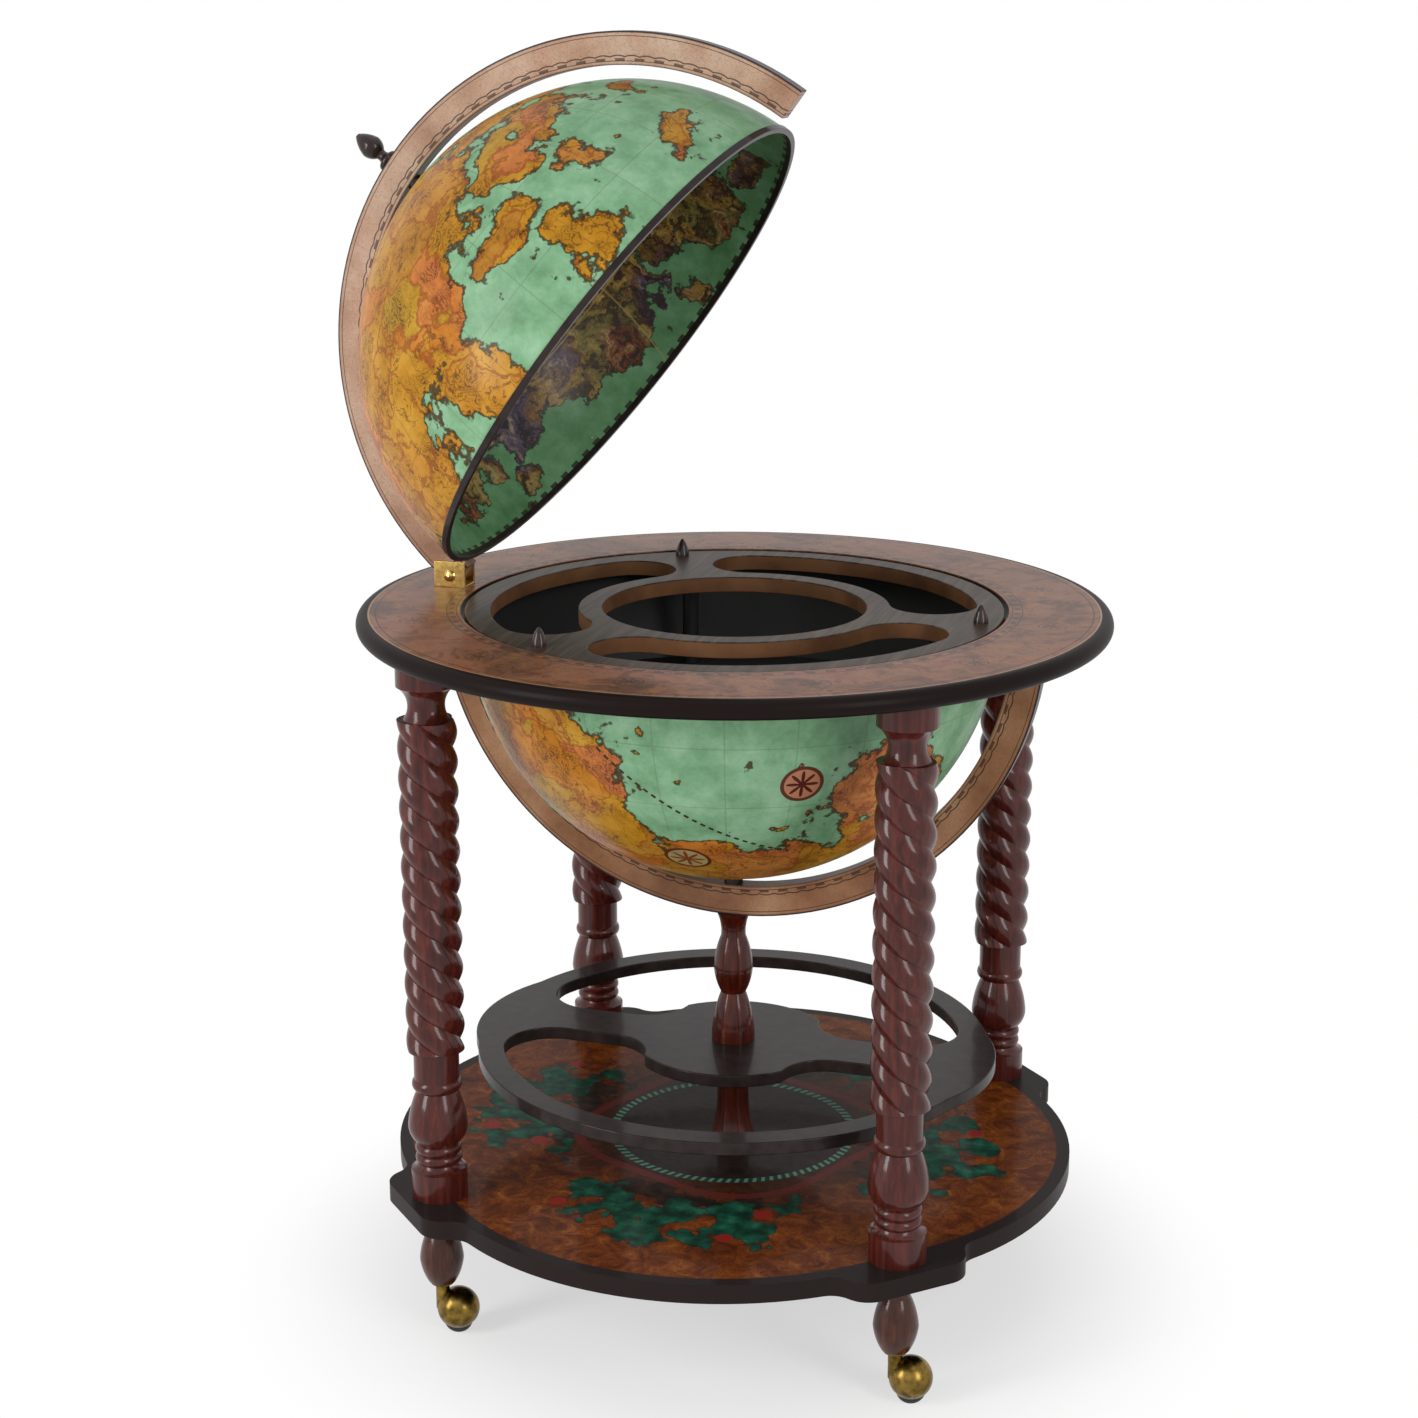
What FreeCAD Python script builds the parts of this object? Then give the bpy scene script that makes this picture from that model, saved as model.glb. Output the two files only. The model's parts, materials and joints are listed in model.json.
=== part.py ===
import FreeCAD, Part
import math
import os
from types import SimpleNamespace

import Sketcher
from FreeCAD import Placement, Rotation, Vector

# Floor globe bar: a globe on a four-legged stand, whose upper half swings open as a lid.
# Z is up from the floor, the stand's column is the Z axis, and the lid's hinge is on the -X side.
# Driving sizes: millimetres, and degrees where the name ends in angle.
SIZES = {
    # Globe and its wooden meridian half rings
    "globe_radius": 250,
    "globe_wall": 4,
    "upper_meridian_gap": 12,
    "lower_meridian_gap": 17,
    "meridian_width": 30,
    "meridian_thickness": 18,
    # Table ring round the equator
    "ring_rise": 7.8,
    "ring_thickness": 18,
    "ring_clearance": 6,
    "ring_overhang": 41.6,
    # Base shelf: four lobes and a tab under each leg
    "leg_offset": 61,
    "base_thickness": 18,
    "base_lobe_radius": 288,
    "base_lobe_overhang": 20,
    "base_tab_overhang": 35,
    "base_tab_half_width": 62,
    "base_tab_corner": 26,
    "base_notch_radius": 22,
    # Legs, turned above and below a three-strand twist
    "leg_block_radius": 26,
    "leg_block_height": 27,
    "leg_cove_radius": 19,
    "leg_cove_height": 6,
    "leg_bead_radius": 21.7,
    "leg_bead_height": 10,
    "leg_vase_radius": 27.7,
    "leg_vase_belly": 18.5,
    "leg_vase_height": 52,
    "leg_vase_bow": 2.7,
    "leg_collar_radius": 23.2,
    "leg_collar_height": 12,
    "leg_plain_radius": 21,
    "leg_plain_height": 29,
    "strand_radius": 20,
    "strand_offset": 7,
    "strand_pitch": 84,
    "leg_neck_radius": 17,
    "leg_neck_height": 31,
    "leg_cap_radius": 27,
    "leg_cap_height": 22.5,
    "turning_bow": 1.5,
    # Feet
    "foot_length": 71.3,
    "foot_bottom_radius": 13,
    "foot_bulb_radius": 20.7,
    "foot_bulb_height": 23.8,
    "foot_neck_radius": 12.5,
    "foot_top_radius": 15,
    "foot_collar_height": 9,
    # Ball casters
    "caster_height": 52.7,
    "caster_ball_radius": 20,
    "caster_ball_height": 24,
    "caster_offset": 14.5,
    "caster_heading_angle": 17.5,
    "caster_wheel_radius": 13.5,
    "caster_wheel_width": 16,
    "caster_wheel_round": 4,
    "caster_wheel_room": 1.5,
    "caster_side_room": 0.5,
    "caster_axle_radius": 2,
    "caster_axle_recess": 1,
    "caster_boss_radius": 6.5,
    "caster_stem_radius": 4,
    "caster_stem_length": 26,
    "socket_flange_radius": 11,
    "socket_flange_thickness": 2.5,
    "socket_wall": 1.6,
    # Column and gallery shelf
    "column_lower_height": 85.5,
    "column_foot_radius": 21,
    "column_waist_radius": 15.5,
    "column_waist_height": 38.5,
    "column_cap_radius": 19.7,
    "column_upper_height": 129.7,
    "column_vase_radius": 21,
    "column_vase_height": 6.7,
    "column_neck_radius": 12,
    "column_neck_height": 48.5,
    "column_bulge_radius": 19,
    "column_bulge_height": 74,
    "column_flare_height": 106.4,
    "column_top_radius": 16,
    "rod_radius": 4,
    "rod_seat": 13,
    "rod_recess": 2,
    "gallery_thickness": 12.5,
    "gallery_radius": 249,
    "gallery_rail": 25,
    "gallery_lobe_radius": 161,
    "gallery_lobe_reach": 258,
    "gallery_disc_radius": 97,
    "gallery_band_half": 28,
    "gallery_end_radius": 45,
    "gallery_bracket_radius": 45,
    # Compartments in the bowl
    "bowl_drop": 1.2,
    "board_clearance": 2,
    "board_thickness": 15,
    "board_well_radius": 124,
    "board_web": 38,
    "board_margin": 16,
    "kidney_half_angle": 40,
    "well_depth": 95,
    "floor_thickness": 9,
    "post_radius": 8,
    "knob_radius": 7,
    "knob_height": 17,
    "knob_tip_radius": 0.8,
    "knob_inset": 9,
    "knob_tenon_radius": 3,
    "knob_tenon_length": 10,
    # Hinge, on a pin between two brass cheeks
    "open_angle": 54,
    "hinge_inset": 9,
    "hinge_height": 11.2,
    "hinge_end_radius": 8.8,
    "hinge_pin_radius": 4,
    "hinge_head_radius": 6,
    "hinge_head_height": 2.6,
    "bracket_half_length": 16,
    "bracket_height": 25,
    "bracket_base": 2,
    "bracket_cheek": 3,
    "bracket_side_room": 0.4,
    "bracket_lip": 2,
    "bracket_lip_height": 11.6,
    # Lid, turning on a pole pin through the meridian
    "lid_rim_height": 6,
    "lid_rim_proud": 0.8,
    "lid_room": 0.5,
    "pole_pin_radius": 4,
    "pole_spacer_radius": 8,
    "pole_boss_radius": 14,
    "pole_boss_depth": 10,
    "pole_nut_radius": 8,
    "pole_nut_height": 6,
    "pole_pin_seat": 18,
    "finial_height": 40,
    "finial_base_radius": 10,
    "finial_shoulder_radius": 8,
    "finial_shoulder_height": 4.8,
    "finial_neck_radius": 5.5,
    "finial_neck_height": 12,
    "finial_bulb_radius": 11,
    "finial_bulb_height": 23.2,
    "finial_tip_radius": 2.2,
    # Fasteners and fits
    "stud_radius": 4,
    "stud_seat": 20,
    "dowel_radius": 5,
    "dowel_seat": 6,
    "dowel_length": 31,
    "screw_radius": 3,
    "screw_head_radius": 7,
    "screw_head_height": 4,
    "screw_seat": 13,
    "small_screw_radius": 2,
    "small_screw_seat": 10,
    "small_screw_spread": 9,
    "running_fit": 0.05,
    "fixed_fit": 0.1,
    "end_play": 0.3,
}

LEG_CORNERS = {"back_right": 45, "back_left": 135, "front_left": 225, "front_right": 315}
RING_SEGMENTS = 8
STRANDS = 3
SECTIONS_PER_TURN = 12
KIDNEY_WELLS = 3

doc = FreeCAD.newDocument("FloorGlobeBar")
sheet = doc.addObject("Spreadsheet::Sheet", "Sizes")
for row, (alias, value) in enumerate(SIZES.items(), start=1):
    sheet.set(f"A{row}", alias)
    sheet.set(f"B{row}", str(value))
    sheet.setAlias(f"B{row}", alias)
doc.recompute()


class Size:
    """A number with the sheet expression that gives it, so that sums of sizes stay tied to the sheet."""

    def __init__(self, number, text=None):
        self.number = float(number)
        self.text = repr(float(number)) if text is None else text

    def joined(self, other, sign, number):
        return Size(number, f"({self.text} {sign} {as_size(other).text})")

    def __add__(self, other):
        return self.joined(other, "+", self.number + as_size(other).number)

    def __sub__(self, other):
        return self.joined(other, "-", self.number - as_size(other).number)

    def __mul__(self, other):
        return self.joined(other, "*", self.number * as_size(other).number)

    def __truediv__(self, other):
        return self.joined(other, "/", self.number / as_size(other).number)

    def __rsub__(self, other):
        return as_size(other) - self

    def __rmul__(self, other):
        return as_size(other) * self

    def __neg__(self):
        return Size(-self.number, f"(-1 * {self.text})")


def as_size(value):
    return value if isinstance(value, Size) else Size(value)


def cosine(angle):
    return Size(math.cos(math.radians(as_size(angle).number)), f"cos({as_size(angle).text})")


def sine(angle):
    return Size(math.sin(math.radians(as_size(angle).number)), f"sin({as_size(angle).text})")


def leg_of(long_side, short_side):
    """The other short side of a right-angled triangle."""
    square = long_side * long_side - short_side * short_side
    return Size(math.sqrt(square.number), f"sqrt({square.text})")


ZERO = Size(0)
s = SimpleNamespace(**{alias: Size(sheet.get(alias), f"Sizes.{alias}") for alias in SIZES})

# Heights that the pieces stack up to, from the floor to the top of the ring
base_under = s.caster_height + s.foot_length
base_top = base_under + s.base_thickness
gallery_under = base_top + s.column_lower_height
gallery_top = gallery_under + s.gallery_thickness
meridian_under = gallery_top + s.column_upper_height
lower_inner = s.globe_radius + s.lower_meridian_gap
lower_outer = lower_inner + s.meridian_width
equator = meridian_under + lower_outer
ring_top = equator + s.ring_rise
ring_under = ring_top - s.ring_thickness

# Sizes that two or more pieces share
globe_inner = s.globe_radius - s.globe_wall
ring_inner = s.globe_radius + s.ring_clearance
leg_circle = s.globe_radius + s.leg_offset
ring_outer = leg_circle + s.ring_overhang
upper_inner = s.globe_radius + s.upper_meridian_gap
upper_outer = upper_inner + s.meridian_width
half_meridian = s.meridian_thickness / 2
board_radius = globe_inner - s.board_clearance
board_top = equator - s.bowl_drop
board_under = board_top - s.board_thickness
floor_top = board_top - s.well_depth
kidney_inner = s.board_well_radius + s.board_web
kidney_outer = board_radius - s.board_margin
kidney_middle = (kidney_inner + kidney_outer) / 2
pivot_x = s.hinge_inset - upper_outer
pivot_rise = s.ring_rise + s.hinge_height
lid_under = s.ring_rise + s.lid_room
socket_radius = s.caster_stem_radius + s.running_fit + s.socket_wall
nodes = {}


def keep(name, piece):
    """Name a finished piece, so that it is checked and written out."""
    piece.Label = name
    nodes[name] = piece
    return piece


def place(piece, x=ZERO, y=ZERO, z=ZERO):
    piece.Placement.Base = Vector(x.number, y.number, z.number)
    for axis, size in (("x", x), ("y", y), ("z", z)):
        piece.setExpression(f"Placement.Base.{axis}", size.text)
    return piece


def bind(piece, **properties):
    for name, size in properties.items():
        piece.setExpression(name, size.text)
    return piece


def cylinder(radius, height, x=ZERO, y=ZERO, z=ZERO, along_y=False):
    piece = bind(doc.addObject("Part::Cylinder", "Cylinder"), Radius=radius, Height=height)
    if along_y:
        piece.Placement.Rotation = Rotation(Vector(1, 0, 0), -90)
    return place(piece, x, y, z)


def ball(radius, x=ZERO, y=ZERO, z=ZERO):
    return place(bind(doc.addObject("Part::Sphere", "Ball"), Radius=radius), x, y, z)


def block(length, width, height, x=ZERO, y=ZERO, z=ZERO):
    piece = bind(doc.addObject("Part::Box", "Block"), Length=length, Width=width, Height=height)
    return place(piece, x, y, z)


def fuse(*pieces):
    piece = doc.addObject("Part::MultiFuse", "Joined")
    piece.Shapes = list(pieces)
    piece.Refine = True
    return piece


def overlap(*pieces):
    piece = doc.addObject("Part::MultiCommon", "Shared")
    piece.Shapes = list(pieces)
    return piece


def group(*pieces):
    piece = doc.addObject("Part::Compound", "Set")
    piece.Links = list(pieces)
    return piece


def cut(base, *tools):
    piece = doc.addObject("Part::Cut", "Bored")
    piece.Base = base
    piece.Tool = tools[0] if len(tools) == 1 else fuse(*tools)
    return piece


def body_sketch(body, plane_role):
    sketch = body.newObject("Sketcher::SketchObject", "Outline")
    plane = next(feature for feature in body.Origin.OriginFeatures if feature.Role == plane_role)
    sketch.AttachmentSupport = [(plane, "")]
    sketch.MapMode = "FlatFace"
    return sketch


def add_constraints(sketch, ties):
    """Add the constraints at once, then tie those that carry a size to the sheet."""
    first = len(sketch.Constraints)
    sketch.addConstraint([constraint for constraint, size in ties])
    for index, (constraint, size) in enumerate(ties, start=first):
        if size is not None:
            sketch.setExpression(f"Constraints[{index}]", size.text)


def point_ties(geometry, position, point):
    """A point's two coordinates; a plain zero puts the point on that axis."""
    ties = []
    for kind, axis, coordinate in (("DistanceX", -2, point[0]), ("DistanceY", -1, point[1])):
        if coordinate is ZERO:
            ties.append((Sketcher.Constraint("PointOnObject", geometry, position, axis), None))
        else:
            constraint = Sketcher.Constraint(kind, -1, 1, geometry, position, coordinate.number)
            ties.append((constraint, coordinate))
    return ties


def flat(point):
    return Vector(point[0].number, point[1].number, 0)


def outline(sketch, *steps):
    """Close an outline through its corners. A step is a corner, or a pair of a point
    on an arc and the corner where that arc ends; each point is tied to the sheet."""
    corners = [step if isinstance(step[0], Size) else step[1] for step in steps]
    edges = []
    ends = []
    helpers = []
    for step, start, end in zip(steps, [corners[-1]] + corners[:-1], corners):
        if isinstance(step[0], Size):
            edges.append(Part.LineSegment(flat(start), flat(end)))
            ends.append((1, 2))
            continue
        on_arc = flat(step[0])
        leftward = (on_arc - flat(start)).cross(flat(end) - on_arc).z > 0
        first, last = (start, end) if leftward else (end, start)
        helpers.append((len(edges), step[0]))
        edges.append(Part.Arc(flat(first), on_arc, flat(last)))
        ends.append((1, 2) if leftward else (2, 1))
    base = sketch.GeometryCount
    sketch.addGeometry(edges, False)
    ties = []
    for index, corner in enumerate(corners):
        following = (index + 1) % len(corners)
        joint = (base + index, ends[index][1], base + following, ends[following][0])
        ties.append((Sketcher.Constraint("Coincident", *joint), None))
        ties += point_ties(base + index, ends[index][1], corner)
    for arc, point in helpers:
        marker = sketch.addGeometry(Part.Point(flat(point)), True)
        ties += point_ties(marker, 1, point)
        ties.append((Sketcher.Constraint("PointOnObject", marker, 1, base + arc), None))
    add_constraints(sketch, ties)


def turned(*steps):
    """A piece turned about the Z axis from a half outline of radius and height."""
    body = doc.addObject("PartDesign::Body", "Turned")
    sketch = body_sketch(body, "XZ_Plane")
    outline(sketch, *steps)
    turning = body.newObject("PartDesign::Revolution", "Turning")
    turning.Profile = sketch
    turning.ReferenceAxis = (sketch, ["V_Axis"])
    turning.Angle = 360
    return body


def bowed(start, end, bow=s.turning_bow):
    """A swelling turned curve, or a hollow one where the bow is negative: a point beside the middle
    of its chord, and its end."""
    return ((start[0] + end[0]) / 2 + bow, (start[1] + end[1]) / 2), end


def padded(body, sketch, length):
    pad = bind(body.newObject("PartDesign::Pad", "Pad"), Length=length)
    pad.Profile = sketch
    return pad


def pocketed(body, sketch):
    """Cut a closed outline through the whole board, upwards from its underside."""
    pocket = body.newObject("PartDesign::Pocket", "Opening")
    pocket.Profile = sketch
    pocket.Type = "ThroughAll"
    pocket.Reversed = True
    return pocket


def turned_copies(body, feature, count):
    pattern = body.newObject("PartDesign::PolarPattern", "Round")
    pattern.Originals = [feature]
    axis = next(item for item in body.Origin.OriginFeatures if item.Role == "Z_Axis")
    pattern.Axis = (axis, [""])
    pattern.Angle = 360
    pattern.Occurrences = count
    body.Tip = pattern


def circle(sketch, radius, centre=(ZERO, ZERO)):
    index = sketch.addGeometry(Part.Circle(flat(centre), Vector(0, 0, 1), radius.number), False)
    ties = point_ties(index, 3, centre)
    ties.append((Sketcher.Constraint("Radius", index, radius.number), radius))
    add_constraints(sketch, ties)


def leg_spot(angle):
    return leg_circle * cosine(angle), leg_circle * sine(angle)


def on_each_leg(prefix, master):
    """Set a copy of one piece at each leg, as pieces of their own."""
    doc.recompute()
    for corner, angle in LEG_CORNERS.items():
        copy = doc.addObject("Part::Feature", "Copy")
        copy.Shape = master.Shape.copy()
        place(copy, *leg_spot(angle))
        keep(f"{prefix}_{corner}", copy)


def rods(spots, radius, height, z):
    return [cylinder(radius, height, x, y, z) for x, y in spots]


def spread(radius, count, first_angle=0):
    """Places evenly spaced on a circle."""
    angles = [first_angle + 360 * index / count for index in range(count)]
    return [(radius * cosine(angle), radius * sine(angle)) for angle in angles]


leg_spots = [leg_spot(angle) for angle in LEG_CORNERS.values()]
ring_seat = lower_inner + s.meridian_width / 2
meridian_spots = [(ring_seat, ZERO), (-ring_seat, ZERO)]
hinge_screw_spots = [(pivot_x + s.small_screw_spread, ZERO), (pivot_x - s.small_screw_spread, ZERO)]


def turned_foot():
    """Bulb foot with a neck under the base and a bore for the caster socket."""
    bottom = s.caster_height
    bulb = bottom + s.foot_bulb_height
    collar = base_under - s.foot_collar_height
    neck = collar - s.foot_collar_height
    profile = turned(
        (ZERO, bottom),
        (s.foot_bottom_radius, bottom),
        bowed((s.foot_bottom_radius, bottom), (s.foot_bulb_radius, bulb)),
        bowed((s.foot_bulb_radius, bulb), (s.foot_neck_radius, neck)),
        (s.foot_neck_radius, collar),
        ((s.foot_top_radius, collar + s.foot_collar_height / 2), (s.foot_neck_radius, base_under)),
        (ZERO, base_under),
    )
    socket_bore = cylinder(socket_radius + s.fixed_fit, s.caster_stem_length + s.end_play, z=bottom)
    stud_bore = cylinder(s.stud_radius + s.fixed_fit, s.stud_seat, z=base_under - s.stud_seat)
    return cut(profile, socket_bore, stud_bore)


def caster_pieces():
    """Swivelling brass ball with a slot for its wheel, the wheel, its axle and the socket in the foot."""
    flange_under = s.caster_height - s.socket_flange_thickness
    thrust = flange_under - s.end_play
    hub = dict(x=s.caster_offset, z=s.caster_wheel_radius)
    boss_height = thrust - s.caster_ball_height
    shell = fuse(
        ball(s.caster_ball_radius, x=s.caster_offset, z=s.caster_ball_height),
        cylinder(s.caster_boss_radius, boss_height, z=s.caster_ball_height),
        cylinder(s.caster_stem_radius, s.caster_stem_length + s.socket_flange_thickness, z=thrust),
    )
    half_slot = s.caster_wheel_width / 2 + s.caster_side_room
    slot_radius = s.caster_wheel_radius + s.caster_wheel_room
    slot = cylinder(slot_radius, 2 * half_slot, y=-half_slot, along_y=True, **hub)
    drop = s.caster_ball_height - s.caster_wheel_radius
    half_axle = leg_of(s.caster_ball_radius, drop) - s.caster_axle_recess
    axle = cylinder(s.caster_axle_radius, 2 * half_axle, y=-half_axle, along_y=True, **hub)
    axle_bore = cylinder(s.caster_axle_radius, 2 * half_axle, y=-half_axle, along_y=True, **hub)
    hood = cut(shell, slot, axle_bore)

    bore = s.caster_axle_radius + s.running_fit
    half = s.caster_wheel_width / 2
    tread = s.caster_wheel_radius
    face = tread - s.caster_wheel_round
    corner = s.caster_wheel_round * cosine(45)
    wheel = turned(
        (bore, -half),
        (face, -half),
        ((face + corner, -half + s.caster_wheel_round - corner), (tread, -half + s.caster_wheel_round)),
        (tread, half - s.caster_wheel_round),
        ((face + corner, half - s.caster_wheel_round + corner), (face, half)),
        (bore, half),
    )
    wheel.Placement.Rotation = Rotation(Vector(1, 0, 0), -90)
    place(wheel, **hub)

    stem_bore = s.caster_stem_radius + s.running_fit
    socket = turned(
        (stem_bore, flange_under),
        (s.socket_flange_radius, flange_under),
        (s.socket_flange_radius, s.caster_height),
        (socket_radius, s.caster_height),
        (socket_radius, s.caster_height + s.caster_stem_length),
        (stem_bore, s.caster_height + s.caster_stem_length),
    )
    return dict(caster_hood=hood, caster_axle=axle, caster_wheel=wheel, caster_socket=socket)


def base_shelf():
    """Shaped board: a quarter with one lobe and two half tabs, repeated round the column."""
    body = doc.addObject("PartDesign::Body", "Base")
    sketch = body_sketch(body, "XY_Plane")
    reach = leg_circle + s.base_tab_overhang
    flat_half = s.base_tab_half_width - s.base_tab_corner
    lobe_centre = Vector((leg_circle + s.base_lobe_overhang - s.base_lobe_radius).number, 0, 0)
    lobe, notch, corner = s.base_lobe_radius.number, s.base_notch_radius.number, s.base_tab_corner.number
    outward = Vector(math.sqrt(0.5), math.sqrt(0.5), 0)
    sideways = Vector(outward.y, -outward.x, 0)
    tab_middle = outward * reach.number
    tab_end = tab_middle + sideways * flat_half.number
    corner_centre = tab_end - outward * corner
    # The notch touches the lobe and the tab's rounded corner from outside
    span = corner_centre - lobe_centre
    along = (span.Length ** 2 + (lobe + notch) ** 2 - (corner + notch) ** 2) / (2 * span.Length)
    aside = math.sqrt((lobe + notch) ** 2 - along ** 2)
    heading = Vector(span).normalize()
    notch_centre = lobe_centre + heading * along + Vector(heading.y, -heading.x, 0) * aside
    lobe_touch = lobe_centre + Vector(notch_centre - lobe_centre).normalize() * lobe
    corner_touch = corner_centre + Vector(notch_centre - corner_centre).normalize() * corner

    def arc(centre, radius, start, end):
        middle = centre + Vector((start - centre) + (end - centre)).normalize() * radius
        return Part.Arc(start, middle, end)

    def mirrored(point):
        return Vector(point.x, -point.y, 0)

    sketch.addGeometry([
        Part.LineSegment(Vector(), mirrored(tab_middle)),
        Part.LineSegment(mirrored(tab_middle), mirrored(tab_end)),
        arc(mirrored(corner_centre), corner, mirrored(tab_end), mirrored(corner_touch)),
        arc(mirrored(notch_centre), notch, mirrored(lobe_touch), mirrored(corner_touch)),
        arc(lobe_centre, lobe, mirrored(lobe_touch), lobe_touch),
        arc(notch_centre, notch, corner_touch, lobe_touch),
        arc(corner_centre, corner, corner_touch, tab_end),
        Part.LineSegment(tab_end, tab_middle),
        Part.LineSegment(tab_middle, Vector()),
    ], False)
    ties = [(Sketcher.Constraint("Coincident", 0, 1, -1, 1), None)]
    ties.append((Sketcher.Constraint("Coincident", 8, 2, -1, 1), None))
    ties.append((Sketcher.Constraint("Coincident", 0, 2, 1, 1), None))
    ties.append((Sketcher.Constraint("Coincident", 7, 2, 8, 1), None))
    tangent_joints = ((1, 2, 2, 1), (2, 2, 3, 2), (3, 1, 4, 1), (4, 2, 5, 2), (5, 1, 6, 1), (6, 2, 7, 1))
    for joint in tangent_joints:
        ties.append((Sketcher.Constraint("Tangent", *joint), None))
    ties += point_ties(1, 1, (reach * cosine(-45), reach * sine(-45)))
    ties += point_ties(8, 1, (reach * cosine(45), reach * sine(45)))
    for half_end, diagonal in ((1, 0), (7, 8)):
        ties.append((Sketcher.Constraint("Perpendicular", half_end, diagonal), None))
        ties.append((Sketcher.Constraint("Distance", half_end, flat_half.number), flat_half))
    radii = {2: s.base_tab_corner, 3: s.base_notch_radius, 4: s.base_lobe_radius}
    radii.update({5: s.base_notch_radius, 6: s.base_tab_corner})
    for index, radius in radii.items():
        ties.append((Sketcher.Constraint("Radius", index, radius.number), radius))
    ties += point_ties(4, 3, (leg_circle + s.base_lobe_overhang - s.base_lobe_radius, ZERO))
    add_constraints(sketch, ties)
    quarter = padded(body, sketch, s.base_thickness)
    turned_copies(body, quarter, 4)
    place(body, z=base_under)
    bores = rods(leg_spots, s.stud_radius + s.fixed_fit, s.base_thickness, base_under)
    return cut(body, *bores, cylinder(s.rod_radius + s.fixed_fit, s.base_thickness, z=base_under))


def twist(start, length):
    """Three strands wound left-handed: a section of three lobes that turns as it climbs.
    Each section turns by well under half a lobe, so that the loft joins every lobe to its own next one."""
    strand, offset = s.strand_radius.number, s.strand_offset.number
    half_lobe = math.pi / STRANDS
    notch = offset * math.cos(half_lobe) + math.sqrt(strand ** 2 - (offset * math.sin(half_lobe)) ** 2)
    sections = round(SECTIONS_PER_TURN * length.number / s.strand_pitch.number)
    wires = []
    for step in range(sections + 1):
        climb = length.number * step / sections
        turn = -2 * math.pi * climb / s.strand_pitch.number
        arcs = []
        for lobe in range(STRANDS):
            middle = turn + 2 * half_lobe * lobe
            polar = ((notch, middle - half_lobe), (strand + offset, middle), (notch, middle + half_lobe))
            points = [Vector(r * math.cos(a), r * math.sin(a), start.number + climb) for r, a in polar]
            arcs.append(Part.Arc(*points).toShape())
        wires.append(Part.Wire(arcs))
    piece = doc.addObject("Part::Feature", "Twist")
    piece.Shape = Part.makeLoft(wires, True, False)
    return piece


def turned_leg():
    """Leg of the stand: block, beads and vase below, the twist, then a neck and a cap under the ring."""
    block_top = base_top + s.leg_block_height
    cove_top = block_top + s.leg_cove_height
    bead_top = cove_top + s.leg_bead_height
    vase_foot = bead_top + s.leg_bead_height
    belly = vase_foot + s.leg_vase_belly
    vase_top = vase_foot + s.leg_vase_height
    collar_top = vase_top + s.leg_collar_height
    twist_start = collar_top + s.leg_plain_height
    cap_foot = ring_under - s.leg_cap_height
    neck_foot = cap_foot - s.leg_neck_height
    profile = turned(
        (ZERO, base_top),
        (s.leg_block_radius, base_top),
        (s.leg_block_radius, block_top),
        bowed((s.leg_block_radius, block_top), (s.leg_cove_radius, cove_top), -s.turning_bow),
        ((s.leg_bead_radius, (cove_top + bead_top) / 2), (s.leg_cove_radius, bead_top)),
        ((s.leg_bead_radius, (bead_top + vase_foot) / 2), (s.leg_cove_radius, vase_foot)),
        bowed((s.leg_cove_radius, vase_foot), (s.leg_vase_radius, belly), s.leg_vase_bow),
        bowed((s.leg_vase_radius, belly), (s.leg_cove_radius, vase_top)),
        ((s.leg_collar_radius, (vase_top + collar_top) / 2), (s.leg_plain_radius, collar_top)),
        (s.leg_plain_radius, neck_foot),
        ((s.leg_neck_radius, neck_foot + s.leg_neck_height / 2), (s.leg_cap_radius, cap_foot)),
        (s.leg_cap_radius, ring_under),
        (ZERO, ring_under),
    )
    leg = fuse(profile, twist(twist_start, neck_foot - twist_start))
    stud_bore = cylinder(s.stud_radius + s.fixed_fit, s.stud_seat, z=base_top)
    dowel_seat = s.dowel_length - s.dowel_seat
    dowel_bore = cylinder(s.dowel_radius + s.fixed_fit, dowel_seat, z=ring_under - dowel_seat)
    return cut(leg, stud_bore, dowel_bore)


def gallery_shelf():
    """Board on the column: a round rail and a cross band, with an opening on either side of the band."""
    body = doc.addObject("PartDesign::Body", "Gallery")
    disc = body_sketch(body, "XY_Plane")
    circle(disc, s.gallery_radius)
    padded(body, disc, s.gallery_thickness)
    lobe = body_sketch(body, "XY_Plane")
    circle(lobe, s.gallery_lobe_radius, (s.gallery_lobe_reach - s.gallery_lobe_radius, ZERO))
    turned_copies(body, padded(body, lobe, s.gallery_thickness), 2)

    rail_inner = s.gallery_radius - s.gallery_rail
    band, end, bracket = s.gallery_band_half, s.gallery_end_radius, s.gallery_bracket_radius
    disc_x = s.gallery_disc_radius * cosine(45)
    disc_y = s.gallery_disc_radius * sine(45)
    bracket_x = disc_x + leg_of(bracket, disc_y - band - bracket)
    end_x = leg_of(rail_inner - end, band + end)
    touch = rail_inner / (rail_inner - end)
    opening = body_sketch(body, "XY_Plane")
    outline(
        opening,
        ((bracket_x - bracket * cosine(45), band + bracket - bracket * sine(45)), (bracket_x, band)),
        (end_x, band),
        ((end_x + end * cosine(30), band + end - end * sine(30)), (end_x * touch, (band + end) * touch)),
        ((ZERO, rail_inner), (-end_x * touch, (band + end) * touch)),
        ((-end_x - end * cosine(30), band + end - end * sine(30)), (-end_x, band)),
        (-bracket_x, band),
        ((-bracket_x + bracket * cosine(45), band + bracket - bracket * sine(45)), (-disc_x, disc_y)),
        ((ZERO, s.gallery_disc_radius), (disc_x, disc_y)),
    )
    turned_copies(body, pocketed(body, opening), 2)
    place(body, z=gallery_under)
    return cut(body, cylinder(s.rod_radius + s.fixed_fit, s.gallery_thickness, z=gallery_under))


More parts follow.
